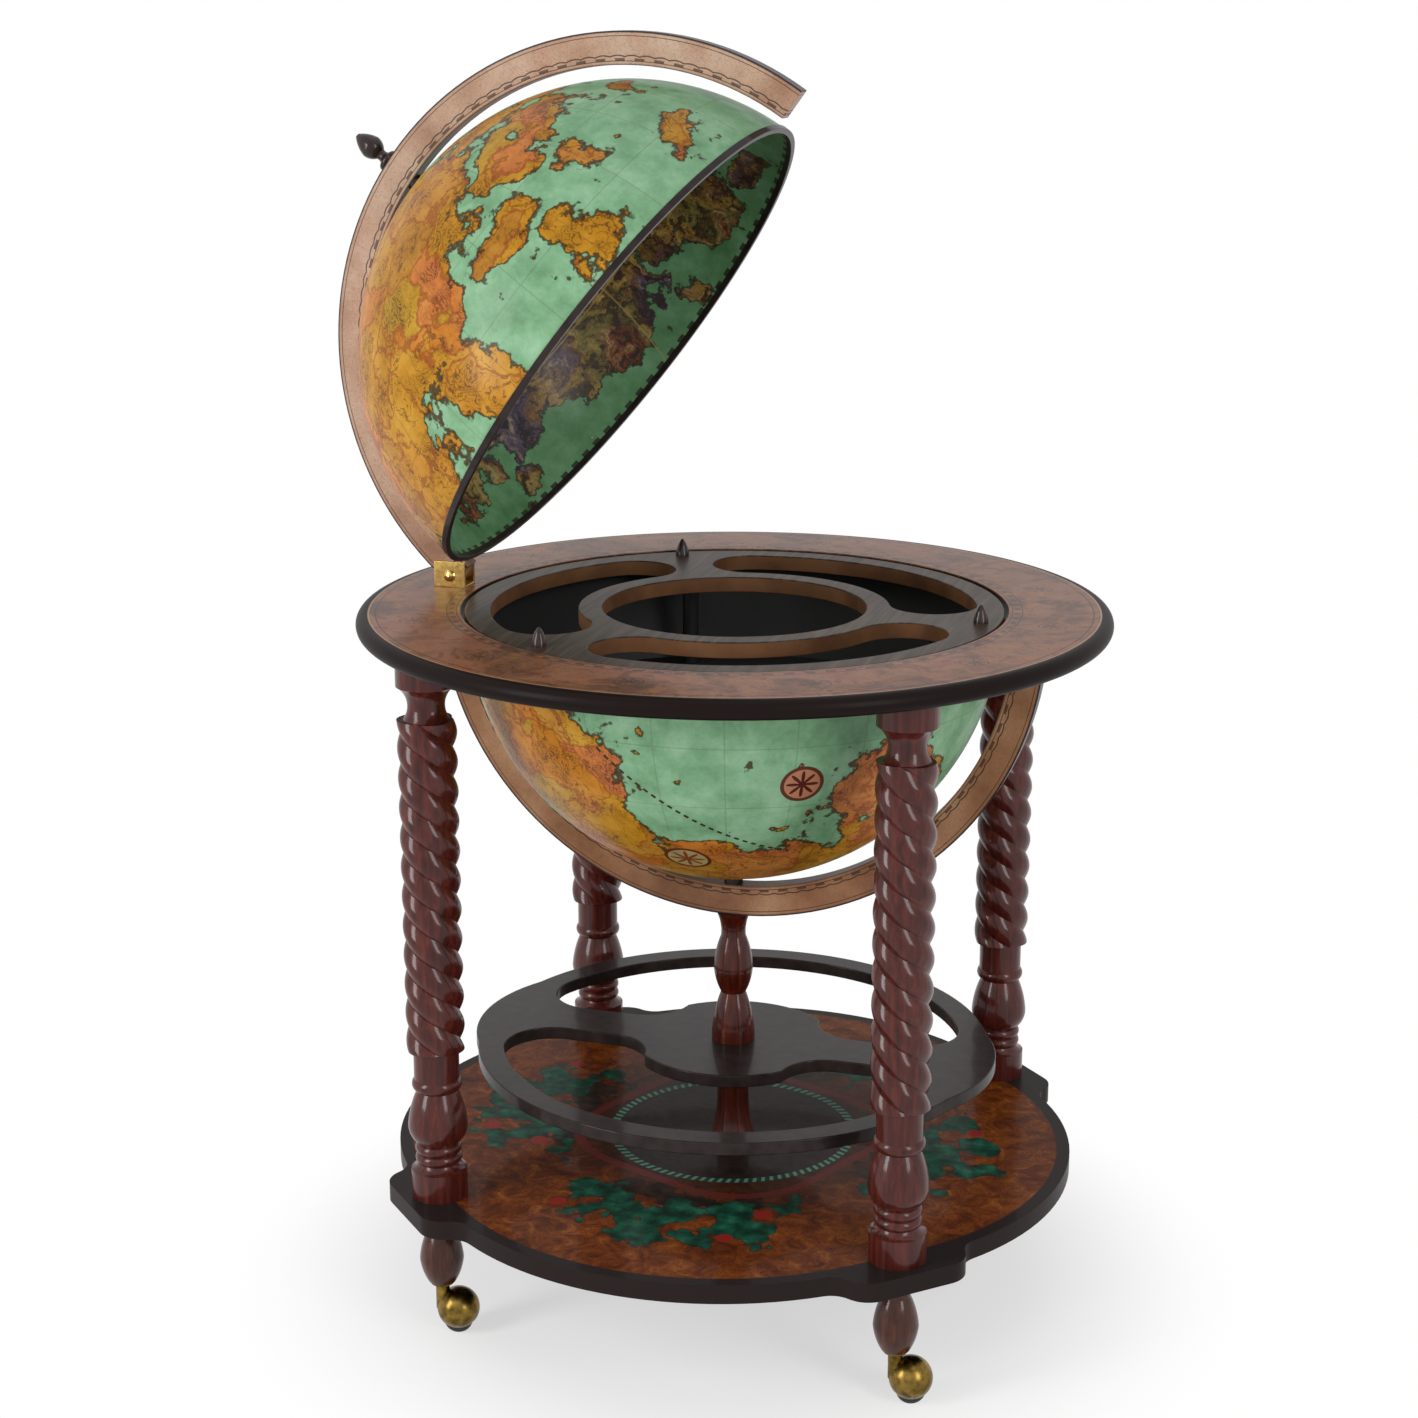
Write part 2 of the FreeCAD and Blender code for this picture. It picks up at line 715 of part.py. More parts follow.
def column_lower():
    """Short spindle that holds the gallery shelf above the base."""
    bore = s.rod_radius + s.fixed_fit
    foot = (s.column_foot_radius, base_top)
    waist = (s.column_waist_radius, base_top + s.column_waist_height)
    cap = (s.column_cap_radius, gallery_under)
    return turned(
        (bore, base_top),
        foot,
        bowed(foot, waist, -s.turning_bow),
        bowed(waist, cap, -s.turning_bow),
        (bore, gallery_under),
    )


def column_upper():
    """Spindle between the gallery shelf and the lower meridian: vase, neck, bulge, neck and flare."""
    bore = s.rod_radius + s.fixed_fit
    vase = (s.column_vase_radius, gallery_top + s.column_vase_height)
    lower_neck = (s.column_neck_radius, gallery_top + s.column_neck_height)
    bulge = (s.column_bulge_radius, gallery_top + s.column_bulge_height)
    upper_neck = (s.column_neck_radius, gallery_top + s.column_flare_height)
    return turned(
        (bore, gallery_top),
        (s.column_vase_radius, gallery_top),
        vase,
        bowed(vase, lower_neck),
        bowed(lower_neck, bulge),
        bowed(bulge, upper_neck),
        bowed(upper_neck, (s.column_top_radius, meridian_under), -s.turning_bow),
        (bore, meridian_under),
    )


def table_ring():
    """Flat ring round the globe with a half-round outer edge, bored for what is pinned to it.
    It is glued up from eight segments, and every other one has a leg under it."""
    round_edge = s.ring_thickness / 2
    ring = turned(
        (ring_inner, ring_under),
        (ring_outer - round_edge, ring_under),
        ((ring_outer, ring_under + round_edge), (ring_outer - round_edge, ring_top)),
        (ring_inner, ring_top),
    )
    leg_bores = rods(leg_spots, s.dowel_radius + s.fixed_fit, s.dowel_seat, ring_under)
    meridian_bores = rods(meridian_spots, s.dowel_radius + s.fixed_fit, s.dowel_seat, ring_under)
    seat = s.small_screw_seat
    screw_bores = rods(hinge_screw_spots, s.small_screw_radius, seat, ring_top - seat)
    bored = cut(ring, *leg_bores, *meridian_bores, *screw_bores)
    span = 360 / RING_SEGMENTS
    for number in range(1, RING_SEGMENTS + 1):
        wedge = cylinder(ring_outer + s.ring_thickness, s.ring_thickness, z=ring_under)
        wedge.Angle = span
        wedge.Placement.Rotation = Rotation(Vector(0, 0, 1), (number - 0.5) * span)
        keep(f"table_ring_{number}", overlap(bored, wedge))


def arch(sketch_steps):
    """A curved board in the plane of the lid's swing, about the globe's centre."""
    body = doc.addObject("PartDesign::Body", "Arch")
    sketch = body_sketch(body, "XZ_Plane")
    outline(sketch, *sketch_steps)
    pad = padded(body, sketch, s.meridian_thickness)
    pad.Midplane = True
    return body


def lower_meridian():
    """Half ring under the bowl, pinned to the ring above and to the column below."""
    drop = s.ring_rise - s.ring_thickness
    outer = leg_of(lower_outer, drop)
    inner = leg_of(lower_inner, drop)
    half_ring = arch([
        ((ZERO, -lower_outer), (outer, drop)),
        (inner, drop),
        ((ZERO, -lower_inner), (-inner, drop)),
        (-outer, drop),
    ])
    place(half_ring, z=equator)
    pin_seat = s.dowel_length - s.dowel_seat
    pin_bores = rods(meridian_spots, s.dowel_radius + s.fixed_fit, pin_seat, ring_under - pin_seat)
    rod_bore = cylinder(s.rod_radius + s.fixed_fit, s.rod_seat, z=meridian_under)
    screw_foot = equator - lower_inner - s.screw_seat
    screw_bore = cylinder(s.screw_radius + s.fixed_fit, s.meridian_width, z=screw_foot)
    return cut(half_ring, *pin_bores, rod_bore, screw_bore)


def half_shell(drop, hole):
    """Half globe below its middle, open at the top, with a hole at the pole."""
    rim_outer = leg_of(s.globe_radius, drop)
    rim_inner = leg_of(globe_inner, drop)
    return turned(
        (hole, -leg_of(s.globe_radius, hole)),
        ((s.globe_radius * cosine(45), -s.globe_radius * sine(45)), (rim_outer, -drop)),
        (rim_inner, -drop),
        ((globe_inner * cosine(45), -globe_inner * sine(45)), (hole, -leg_of(globe_inner, hole))),
    )


def bowl_fixings():
    """Spacer between the bowl and the meridian, shaped to both, and the screw through it."""
    radius = half_meridian
    bottom = equator - lower_inner
    length = s.lower_meridian_gap + 2 * s.globe_wall
    spacer = overlap(
        cylinder(radius, length, z=bottom - s.globe_wall),
        cylinder(lower_inner, 2 * radius, y=-radius, z=equator, along_y=True),
    )
    bore = cylinder(s.screw_radius + s.fixed_fit, length, z=bottom - s.globe_wall)
    keep("bowl_spacer", cut(cut(spacer, bore), ball(s.globe_radius, z=equator)))
    head_under = equator - leg_of(globe_inner, s.screw_head_radius)
    shank = cylinder(s.screw_radius, head_under - bottom + s.screw_seat, z=bottom - s.screw_seat)
    keep("bowl_screw", fuse(shank, cylinder(s.screw_head_radius, s.screw_head_height, z=head_under)))


def compartment_board():
    """Lift-out board level with the rim: a round well, three curved wells and a hole for each knob."""
    body = doc.addObject("PartDesign::Body", "Board")
    disc = body_sketch(body, "XY_Plane")
    circle(disc, board_radius)
    circle(disc, s.board_well_radius)
    padded(body, disc, s.board_thickness)
    end = (kidney_outer - kidney_inner) / 2
    across = cosine(s.kidney_half_angle)
    along = sine(s.kidney_half_angle)
    tip_x = kidney_middle * across - end * along
    tip_y = kidney_middle * along + end * across
    kidney = body_sketch(body, "XY_Plane")
    outline(
        kidney,
        ((-kidney_outer, ZERO), (-kidney_outer * across, -kidney_outer * along)),
        ((-tip_x, -tip_y), (-kidney_inner * across, -kidney_inner * along)),
        ((-kidney_inner, ZERO), (-kidney_inner * across, kidney_inner * along)),
        ((-tip_x, tip_y), (-kidney_outer * across, kidney_outer * along)),
    )
    turned_copies(body, pocketed(body, kidney), KIDNEY_WELLS)
    place(body, z=board_under)
    tenon = s.knob_tenon_length
    bores = rods(knob_spots, s.knob_tenon_radius + s.fixed_fit, tenon, board_top - tenon)
    return cut(body, *bores)


def knob():
    """Bullet-shaped lifting knob with a tenon."""
    return turned(
        (ZERO, -s.knob_tenon_length),
        (s.knob_tenon_radius, -s.knob_tenon_length),
        (s.knob_tenon_radius, ZERO),
        (s.knob_radius, ZERO),
        bowed((s.knob_radius, ZERO), (s.knob_tip_radius, s.knob_height)),
        (ZERO, s.knob_height),
    )


def hinge_pieces():
    """Brass bracket with two cheeks and a stop lip, the pin through it and the screws under the lid's arm."""
    half = s.bracket_half_length
    cheek_inside = half_meridian + s.bracket_side_room
    width = cheek_inside + s.bracket_cheek
    left = pivot_x - half
    bracket = fuse(
        block(2 * half, 2 * width, s.bracket_base, left, -width, ring_top),
        block(2 * half, s.bracket_cheek, s.bracket_height, left, cheek_inside, ring_top),
        block(2 * half, s.bracket_cheek, s.bracket_height, left, -width, ring_top),
        block(s.bracket_lip, 2 * width, s.bracket_lip_height, left, -width, ring_top),
    )
    pivot_z = ring_top + s.hinge_height
    pin_bore = cylinder(s.hinge_pin_radius, 2 * width, pivot_x, -width, pivot_z, along_y=True)
    screw_bores = rods(hinge_screw_spots, s.small_screw_radius, s.bracket_base, ring_top)
    keep("hinge_bracket", cut(bracket, pin_bore, *screw_bores))
    head, crown = s.hinge_head_radius, s.hinge_head_height
    dome_radius = (head * head + crown * crown) / (2 * crown)
    dome_rise = leg_of(dome_radius, head / 2) - dome_radius + crown
    pin = turned(
        (ZERO, -width - crown),
        ((head / 2, -width - dome_rise), (head, -width)),
        (s.hinge_pin_radius, -width),
        (s.hinge_pin_radius, width),
        (head, width),
        ((head / 2, width + dome_rise), (ZERO, width + crown)),
    )
    pin.Placement.Rotation = Rotation(Vector(1, 0, 0), -90)
    keep("hinge_pin", place(pin, pivot_x, ZERO, pivot_z))
    length = s.small_screw_seat + s.bracket_base
    screws = rods(hinge_screw_spots, s.small_screw_radius, length, ring_top - s.small_screw_seat)
    keep("hinge_screws", group(*screws))


def upper_meridian():
    """Arm that carries the lid: a half ring with a rounded end on the hinge pin and a square free end."""
    hinge_end = pivot_rise - s.hinge_end_radius
    outer_reach = leg_of(upper_outer, pivot_rise)
    rounding = (outer_reach + pivot_x + s.hinge_end_radius) / 2 * cosine(45)
    half_ring = arch([
        ((ZERO, upper_outer), (-outer_reach, pivot_rise)),
        ((pivot_x - rounding, pivot_rise - rounding), (pivot_x, hinge_end)),
        (-leg_of(upper_inner, hinge_end), hinge_end),
        ((ZERO, upper_inner), (leg_of(upper_inner, lid_under), lid_under)),
        (leg_of(upper_outer, lid_under), lid_under),
    ])
    pivot_radius = s.hinge_pin_radius + s.running_fit
    pivot_bore = cylinder(
        pivot_radius, s.meridian_thickness, pivot_x, -half_meridian, pivot_rise, along_y=True
    )
    pole_bore = cylinder(s.pole_pin_radius + s.fixed_fit, s.meridian_width * 2, z=globe_inner)
    return cut(half_ring, pivot_bore, pole_bore)


def pole_pieces():
    """Pin at the pole with its turned finial, the spacer and the nut that holds the lid up."""
    top = upper_outer
    shoulder = (s.finial_shoulder_radius, top + s.finial_shoulder_height)
    neck = (s.finial_neck_radius, top + s.finial_neck_height)
    bulb = (s.finial_bulb_radius, top + s.finial_bulb_height)
    finial = turned(
        (ZERO, top),
        (s.finial_base_radius, top),
        bowed((s.finial_base_radius, top), shoulder),
        bowed(shoulder, neck, -s.turning_bow),
        bowed(neck, bulb),
        bowed(bulb, (s.finial_tip_radius, top + s.finial_height)),
        (ZERO, top + s.finial_height),
    )
    seat = cylinder(s.pole_pin_radius, s.pole_pin_seat, z=top)
    spacer_under = s.globe_radius + s.end_play
    spacer_top = leg_of(upper_inner, s.pole_spacer_radius)
    spacer = turned(
        (s.pole_pin_radius + s.fixed_fit, spacer_under),
        (s.pole_spacer_radius, spacer_under),
        (s.pole_spacer_radius, spacer_top),
        (s.pole_pin_radius + s.fixed_fit, spacer_top),
    )
    nut_top = globe_inner - s.pole_boss_depth - s.end_play
    nut_under = nut_top - s.pole_nut_height
    nut = doc.addObject("Part::Prism", "Nut")
    nut.Polygon = 6
    place(bind(nut, Circumradius=s.pole_nut_radius, Height=s.pole_nut_height), z=nut_under)
    nut_bore = cylinder(s.pole_pin_radius, s.pole_nut_height, z=nut_under)
    pin = cylinder(s.pole_pin_radius, top + s.pole_pin_seat - nut_under, z=nut_under)
    return dict(pole_finial=cut(finial, seat), pole_pin=pin, pole_spacer=spacer, pole_nut=cut(nut, nut_bore))


def lid_pieces():
    """Upper half of the globe with a dark rim and a boss that turns on the pole pin."""
    rim_top = lid_under + s.lid_rim_height
    shell = half_shell(rim_top, s.pole_pin_radius + s.end_play)
    shell.Placement.Rotation = Rotation(Vector(1, 0, 0), 180)
    rim_outer = s.globe_radius + s.lid_rim_proud
    rim_inner = globe_inner - s.lid_rim_proud
    rim = turned((rim_inner, lid_under), (rim_outer, lid_under), (rim_outer, rim_top), (rim_inner, rim_top))
    boss_under = globe_inner - s.pole_boss_depth
    boss = overlap(cylinder(s.pole_boss_radius, s.pole_boss_depth, z=boss_under), ball(globe_inner))
    boss_bore = cylinder(s.pole_pin_radius + s.running_fit, s.pole_boss_depth, z=boss_under)
    return dict(lid_shell=shell, lid_rim=rim, lid_boss=cut(boss, boss_bore))


def swing_open(piece):
    """Turn a piece of the lid, made closed about the globe's centre, up to the open stop."""
    turn = s.open_angle
    x = pivot_x - pivot_x * cosine(turn) + pivot_rise * sine(turn)
    z = equator + pivot_rise - pivot_x * sine(turn) - pivot_rise * cosine(turn)
    if not piece.Placement.isIdentity():
        piece = group(piece)
    piece.Placement = Placement(Vector(), Rotation(Vector(0, -1, 0), turn.number))
    piece.setExpression("Placement.Rotation.Angle", turn.text)
    return place(piece, x, ZERO, z)


# Stand: feet, casters, base, legs, column and gallery shelf
knob_spots = spread(board_radius - s.knob_inset, KIDNEY_WELLS)
on_each_leg("foot", turned_foot())
for name, master in caster_pieces().items():
    heading = group(master)
    heading.Placement.Rotation = Rotation(Vector(0, 0, 1), s.caster_heading_angle.number)
    heading.setExpression("Placement.Rotation.Angle", s.caster_heading_angle.text)
    on_each_leg(name, heading)
keep("base_shelf", base_shelf())
studs = rods(leg_spots, s.stud_radius, 2 * s.stud_seat + s.base_thickness, base_under - s.stud_seat)
keep("foot_studs", group(*studs))
on_each_leg("leg", turned_leg())
dowel_foot = ring_under + s.dowel_seat - s.dowel_length
keep("leg_dowels", group(*rods(leg_spots, s.dowel_radius, s.dowel_length, dowel_foot)))
keep("column_lower", column_lower())
keep("gallery_shelf", gallery_shelf())
keep("column_upper", column_upper())
rod_foot = base_under + s.rod_recess
keep("column_rod", cylinder(s.rod_radius, meridian_under + s.rod_seat - rod_foot, z=rod_foot))

# Ring, lower meridian and the bowl with its compartments
table_ring()
keep("lower_meridian", lower_meridian())
keep("meridian_dowels", group(*rods(meridian_spots, s.dowel_radius, s.dowel_length, dowel_foot)))
keep("bowl", place(half_shell(s.bowl_drop, s.screw_radius + s.fixed_fit), z=equator))
bowl_fixings()
floor_under = floor_top - s.floor_thickness
floor_radius = leg_of(globe_inner, equator - floor_under) - s.fixed_fit
keep("compartment_floor", cylinder(floor_radius, s.floor_thickness, z=floor_under))
post_spots = spread(kidney_middle, KIDNEY_WELLS)
keep("compartment_posts", group(*rods(post_spots, s.post_radius, board_under - floor_top, floor_top)))
keep("compartment_board", compartment_board())
keep("board_knobs", group(*[place(knob(), x, y, board_top) for x, y in knob_spots]))

# Hinge, the arm on it and the lid on the arm
hinge_pieces()
keep("upper_meridian", swing_open(upper_meridian()))
for name, piece in {**pole_pieces(), **lid_pieces()}.items():
    keep(name, swing_open(piece))

doc.recompute()
for item in doc.Objects:
    if "Invalid" in item.State or "Error" in item.State:
        raise RuntimeError(f"{item.Label} did not build: {item.State}")
for name, piece in nodes.items():
    if piece.Shape.isNull() or not piece.Shape.isValid() or not piece.Shape.Solids:
        raise RuntimeError(f"{name} is not a sound solid")

os.makedirs("parts", exist_ok=True)
for name, piece in nodes.items():
    piece.Shape.exportStep(f"parts/{name}.step")
print(f"{len(nodes)} pieces, equator {equator.number:.1f}, ring top {ring_top.number:.1f}")
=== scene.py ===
import json
from math import atan2, cos, pi, radians, sin

import bmesh
import bpy
from mathutils import Matrix, Vector

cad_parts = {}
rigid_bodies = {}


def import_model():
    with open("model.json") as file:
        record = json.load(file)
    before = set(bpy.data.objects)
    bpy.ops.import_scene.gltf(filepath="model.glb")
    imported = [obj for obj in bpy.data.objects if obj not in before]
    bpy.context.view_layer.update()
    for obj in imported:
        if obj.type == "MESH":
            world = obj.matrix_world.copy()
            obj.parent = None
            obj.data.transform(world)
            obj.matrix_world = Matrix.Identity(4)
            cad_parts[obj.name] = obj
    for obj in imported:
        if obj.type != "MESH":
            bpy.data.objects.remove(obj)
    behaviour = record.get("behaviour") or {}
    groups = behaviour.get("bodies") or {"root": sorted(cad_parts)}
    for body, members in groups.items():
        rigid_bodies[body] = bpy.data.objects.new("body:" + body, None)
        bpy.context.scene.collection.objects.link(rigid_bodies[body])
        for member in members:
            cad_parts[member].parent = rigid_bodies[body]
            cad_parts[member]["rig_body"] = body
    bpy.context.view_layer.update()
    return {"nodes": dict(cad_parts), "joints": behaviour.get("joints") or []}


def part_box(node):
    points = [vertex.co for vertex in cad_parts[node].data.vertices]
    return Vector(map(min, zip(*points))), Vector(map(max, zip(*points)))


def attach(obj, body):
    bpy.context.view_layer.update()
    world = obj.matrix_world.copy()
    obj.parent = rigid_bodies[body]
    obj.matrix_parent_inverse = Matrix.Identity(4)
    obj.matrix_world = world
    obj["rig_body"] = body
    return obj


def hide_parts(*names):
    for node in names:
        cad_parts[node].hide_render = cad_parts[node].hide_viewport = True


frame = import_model()

# Casters: a cast brass hood swivels on a stem in a flanged socket, with a moulded black wheel in its slot.
# The brass is tarnished, brown in patches and rubbed golden elsewhere.
CORNERS = ("back_right", "back_left", "front_left", "front_right")
TARNISH_MM = 9
# The mould's grain and the steel's lines are finer on the real piece, and drawn coarse enough to show
MOULD_GRAIN_MM = 1.2
STEEL_LINE_MM = 0.6


def linear(code):
    """The linear colour of an sRGB hex code."""
    shares = [int(code[start:start + 2], 16) / 255 for start in (1, 3, 5)]
    return [((share + 0.055) / 1.055) ** 2.4 if share > 0.04045 else share / 12.92 for share in shares] + [1]


def add(tree, kind, inputs=None, stops=None, **settings):
    """Add a node with its settings, a ramp's stops, and inputs that are values, hex colours or links.

    A Mix blends colours, and a node given as an input links the first of its outputs in use.
    """
    made = tree.nodes.new("ShaderNode" + kind)
    if kind == "Mix":
        made.data_type = "RGBA"
    for name, value in settings.items():
        setattr(made, name, value)
    if stops:
        ramp = made.color_ramp.elements
        ramp.remove(ramp[1])
        for index, (position, code) in enumerate(stops.items()):
            stop = ramp.new(position) if index else ramp[0]
            stop.position = position
            stop.color = linear(code)
    for key, value in (inputs or {}).items():
        if isinstance(value, bpy.types.Node):
            value = next(output for output in value.outputs if output.enabled)
        if isinstance(value, bpy.types.NodeSocket):
            tree.links.new(value, made.inputs[key])
        else:
            made.inputs[key].default_value = linear(value) if isinstance(value, str) else value
    return made


def finish(name, lay, *options):
    """A material whose nodes are laid by a function, from the object's own coordinates to a shader."""
    made = bpy.data.materials.new(name)
    made.use_nodes = True
    tree = made.node_tree
    tree.nodes.clear()
    shader = lay(tree, add(tree, "TexCoord").outputs["Object"], *options)
    add(tree, "OutputMaterial", {"Surface": shader})
    return made


def stand_for(mesh, node, *materials):
    """Make a mesh the visible piece of a CAD node, on that node's body."""
    data = bpy.data.meshes.new(node + "_finished")
    mesh.to_mesh(data)
    mesh.free()
    for made in materials:
        data.materials.append(made)
    piece = bpy.data.objects.new(node + "_finished", data)
    bpy.context.scene.collection.objects.link(piece)
    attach(piece, frame["nodes"][node]["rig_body"])
    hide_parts(node)
    return piece


def shade(mesh, crease=32):
    """Shade a mesh smooth, apart from edges that bend by more than some degrees."""
    for face in mesh.faces:
        face.smooth = True
    for edge in mesh.edges:
        edge.smooth = edge.calc_face_angle(pi) < radians(crease)


def ease(piece, width, crease=32):
    """Round a piece's edges by a width in millimetres."""
    bevel = piece.modifiers.new("eased_edges", "BEVEL")
    bevel.width = width / 1000
    bevel.segments = 2
    bevel.limit_method = "ANGLE"
    bevel.angle_limit = radians(crease)
    bevel.harden_normals = True


def smoothed(node, *materials, crease=32, eased=0):
    """A copy of a CAD piece with its curves shaded smooth, and its edges eased by some millimetres."""
    mesh = bmesh.new()
    mesh.from_mesh(frame["nodes"][node].data)
    bmesh.ops.remove_doubles(mesh, verts=mesh.verts, dist=1e-6)
    shade(mesh, crease)
    piece = stand_for(mesh, node, *materials)
    if eased:
        ease(piece, eased, crease)
    return piece


def aged_brass(tree, place):
    """Cast brass with a brown film of tarnish that is rubbed golden in places."""
    film = add(tree, "TexNoise", {"Vector": place, "Scale": 1000 / TARNISH_MM, "Detail": 4})
    colour = add(tree, "ValToRGB", {0: film}, stops={0.35: "#4E3E1A", 0.7: "#957A3C"})
    polish = add(tree, "MapRange", {"Value": film, "To Min": 0.2, "To Max": 0.4})
    return add(tree, "BsdfPrincipled", {"Base Color": colour, "Metallic": 1, "Roughness": polish})


def black_moulding(tree, place):
    """Moulded black plastic with the faint grain of its mould."""
    grain = add(tree, "TexNoise", {"Vector": place, "Scale": 1000 / MOULD_GRAIN_MM, "Detail": 2})
    colour = add(tree, "ValToRGB", {0: grain}, stops={0.3: "#121212", 0.7: "#1F1E1E"})
    relief = add(tree, "Bump", {"Height": grain, "Strength": 0.15, "Distance": 0.0004})
    look = {"Base Color": colour, "Roughness": 0.42, "IOR": 1.5, "Normal": relief}
    return add(tree, "BsdfPrincipled", look)


def plain_steel(tree, place):
    """Drawn steel with fine lines along it."""
    squeezed = add(tree, "Mapping", {"Vector": place, "Scale": (1, 1, 0.05)})
    lines = add(tree, "TexNoise", {"Vector": squeezed, "Scale": 1000 / STEEL_LINE_MM, "Detail": 2})
    colour = add(tree, "ValToRGB", {0: lines}, stops={0.3: "#8A8C90", 0.7: "#B4B6BA"})
    return add(tree, "BsdfPrincipled", {"Base Color": colour, "Metallic": 1, "Roughness": 0.3})


tarnished_brass = finish("tarnished_brass", aged_brass)
black_plastic = finish("black_plastic", black_moulding)
drawn_steel = finish("drawn_steel", plain_steel)
for corner in CORNERS:
    smoothed(f"caster_hood_{corner}", tarnished_brass)
    smoothed(f"caster_socket_{corner}", tarnished_brass)
    smoothed(f"caster_wheel_{corner}", black_plastic)
    smoothed(f"caster_axle_{corner}", drawn_steel)

# Feet: bulbs turned from walnut and lacquered, one screwed under each tab of the base.
# The grain runs up the turning, and the lacquer lies over it as a clear smooth coat.
WOOD_GRAIN_MM = 5
# Pores, here and on the board, are finer in real wood, and drawn coarse enough to show
PORE_MM = 1.1
GRAIN_STRETCH = 0.07


def lacquered_wood(tree, place, deep, middle, bright):
    """Stained wood under clear lacquer: long streaks, fine pores and a smooth wet-looking coat."""
    upright = add(tree, "Mapping", {"Vector": place, "Scale": (1, 1, GRAIN_STRETCH)})
    streak = {"Vector": upright, "Scale": 1000 / WOOD_GRAIN_MM, "Detail": 5, "Distortion": 0.4}
    streaks = add(tree, "TexNoise", streak)
    pores = add(tree, "TexNoise", {"Vector": upright, "Scale": 1000 / PORE_MM, "Detail": 2})
    stained = add(tree, "ValToRGB", {0: streaks}, stops={0.28: deep, 0.5: middle, 0.75: bright})
    speck = add(tree, "MapRange", {"Value": pores, "From Min": 0.62, "From Max": 0.74, "To Max": 0.5})
    colour = add(tree, "Mix", {0: speck, 6: stained, 7: deep})
    relief = add(tree, "Bump", {"Height": streaks, "Strength": 0.06, "Distance": 0.0005})
    return add(tree, "BsdfPrincipled", {
        "Base Color": colour, "Roughness": 0.4, "Specular IOR Level": 0.1, "Normal": relief,
        "Coat Weight": 0.5, "Coat Roughness": 0.13, "Coat IOR": 1.5})


walnut = finish("lacquered_walnut", lacquered_wood, "#2E1409", "#462012", "#5C301D")
beech = finish("plain_beech", lacquered_wood, "#A98556", "#BF9A68", "#D2B284")
for corner in CORNERS:
    smoothed(f"foot_{corner}", walnut)
smoothed("foot_studs", drawn_steel)

# Base shelf: a board sawn to four lobes and four tabs, edges lacquered almost black.
# Its top carries a varnished print: burr-brown ground, leaf sprays, and a dark medallion in a rope circle.
base_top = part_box("base_shelf")[1].z
ESPRESSO_GRAIN_MM = 14
LOBE_OFFSET = 0.043
PRINT_RADIUS = 0.276
PRINT_DEPTH = 0.0015
BURR_MM = 22
SPECKLE_MM = 2.2
SPRAYS = 4
SPRAY_REACH = 0.2
LEAVES = (
    (0, 0.004, 0.028), (0.036, 0.026, 0.02), (0.04, -0.022, 0.021), (0, -0.05, 0.023), (-0.014, 0.054, 0.022),
    (0.016, 0.084, 0.017), (-0.034, -0.088, 0.019), (-0.05, 0.1, 0.017), (0.014, -0.082, 0.013),
)
STEMS = ((-0.036, 0.02, 0.018), (-0.04, -0.024, 0.018), (-0.05, -0.06, 0.013), (-0.045, 0.066, 0.012))
BERRIES = ((0.03, 0.062, 0.008), (-0.026, 0.082, 0.009), (0.004, -0.108, 0.008))
LEAF_LOBE_MM = 30
# Radii between which painted shade darkens the ground towards the column
PAINTED_SHADE_REACH = (0.2, 0.13)
MEDALLION_RADIUS = 0.118
ROPE_WIDTH = 0.0045
ROPE_STRANDS = 90
RIBBON_RADIUS = 0.142
RIBBON_WAVE = 0.010
RIBBON_WIDTH = 0.006


def patches(tree, point, spots, melt):
    """How far a point lies outside the nearest of some round patches that melt into one another."""
    outside = None
    for *middle, radius in spots:
        middle = Vector(middle).to_3d()
        away = add(tree, "VectorMath", {0: point, 1: middle}, operation="DISTANCE")
        away = add(tree, "Math", {0: away, 1: radius}, operation="SUBTRACT")
        if outside is not None:
            away = add(tree, "Math", {0: outside, 1: away, 2: melt}, operation="SMOOTH_MIN")
        outside = away
    return outside


def inked(tree, colour, ink, mask, share):
    """A colour with an ink laid over it where a mask says, at a share of the ink's strength."""
    mask = add(tree, "Math", {0: mask, 1: share}, operation="MULTIPLY")
    return add(tree, "Mix", {0: mask, 6: colour, 7: ink})


def polar(tree, across, upward):
    """Distance and angle of a point from the origin of a plane."""
    flat = add(tree, "CombineXYZ", {"X": across, "Y": upward})
    reach = add(tree, "VectorMath", {0: flat}, operation="LENGTH")
    return reach, add(tree, "Math", {0: upward, 1: across}, operation="ARCTAN2")


def stripes(tree, run, rate, level):
    """One where a sine along a run is above a level, which gives even stripes."""
    wave = add(tree, "Math", {0: run, 1: rate}, operation="MULTIPLY")
    wave = add(tree, "Math", {0: wave}, operation="SINE")
    return add(tree, "Math", {0: wave, 1: level}, operation="GREATER_THAN")


def sector_spot(tree, reach, angle, count, middle):
    """How far a point lies along and aside from the middle of its sector, with equal sectors all round."""
    half = pi / count
    wrapped = add(tree, "Math", {0: angle, 1: half, 2: -half}, operation="WRAP")
    sine = add(tree, "Math", {0: wrapped}, operation="SINE")
    cosine = add(tree, "Math", {0: wrapped}, operation="COSINE")
    along = add(tree, "Math", {0: reach, 1: cosine, 2: -middle}, operation="MULTIPLY_ADD")
    return along, add(tree, "Math", {0: reach, 1: sine}, operation="MULTIPLY")


def espresso(tree, place):
    """Dark lacquered board: almost black brown, with a trace of grain and a glossy coat."""
    grain = add(tree, "TexNoise", {"Vector": place, "Scale": 1000 / ESPRESSO_GRAIN_MM, "Detail": 5})
    colour = add(tree, "ValToRGB", {0: grain}, stops={0.3: "#1E1715", 0.7: "#322825"})
    return add(tree, "BsdfPrincipled", {
        "Base Color": colour, "Roughness": 0.42, "Specular IOR Level": 0.08,
        "Coat Weight": 0.24, "Coat Roughness": 0.1, "Coat IOR": 1.45})


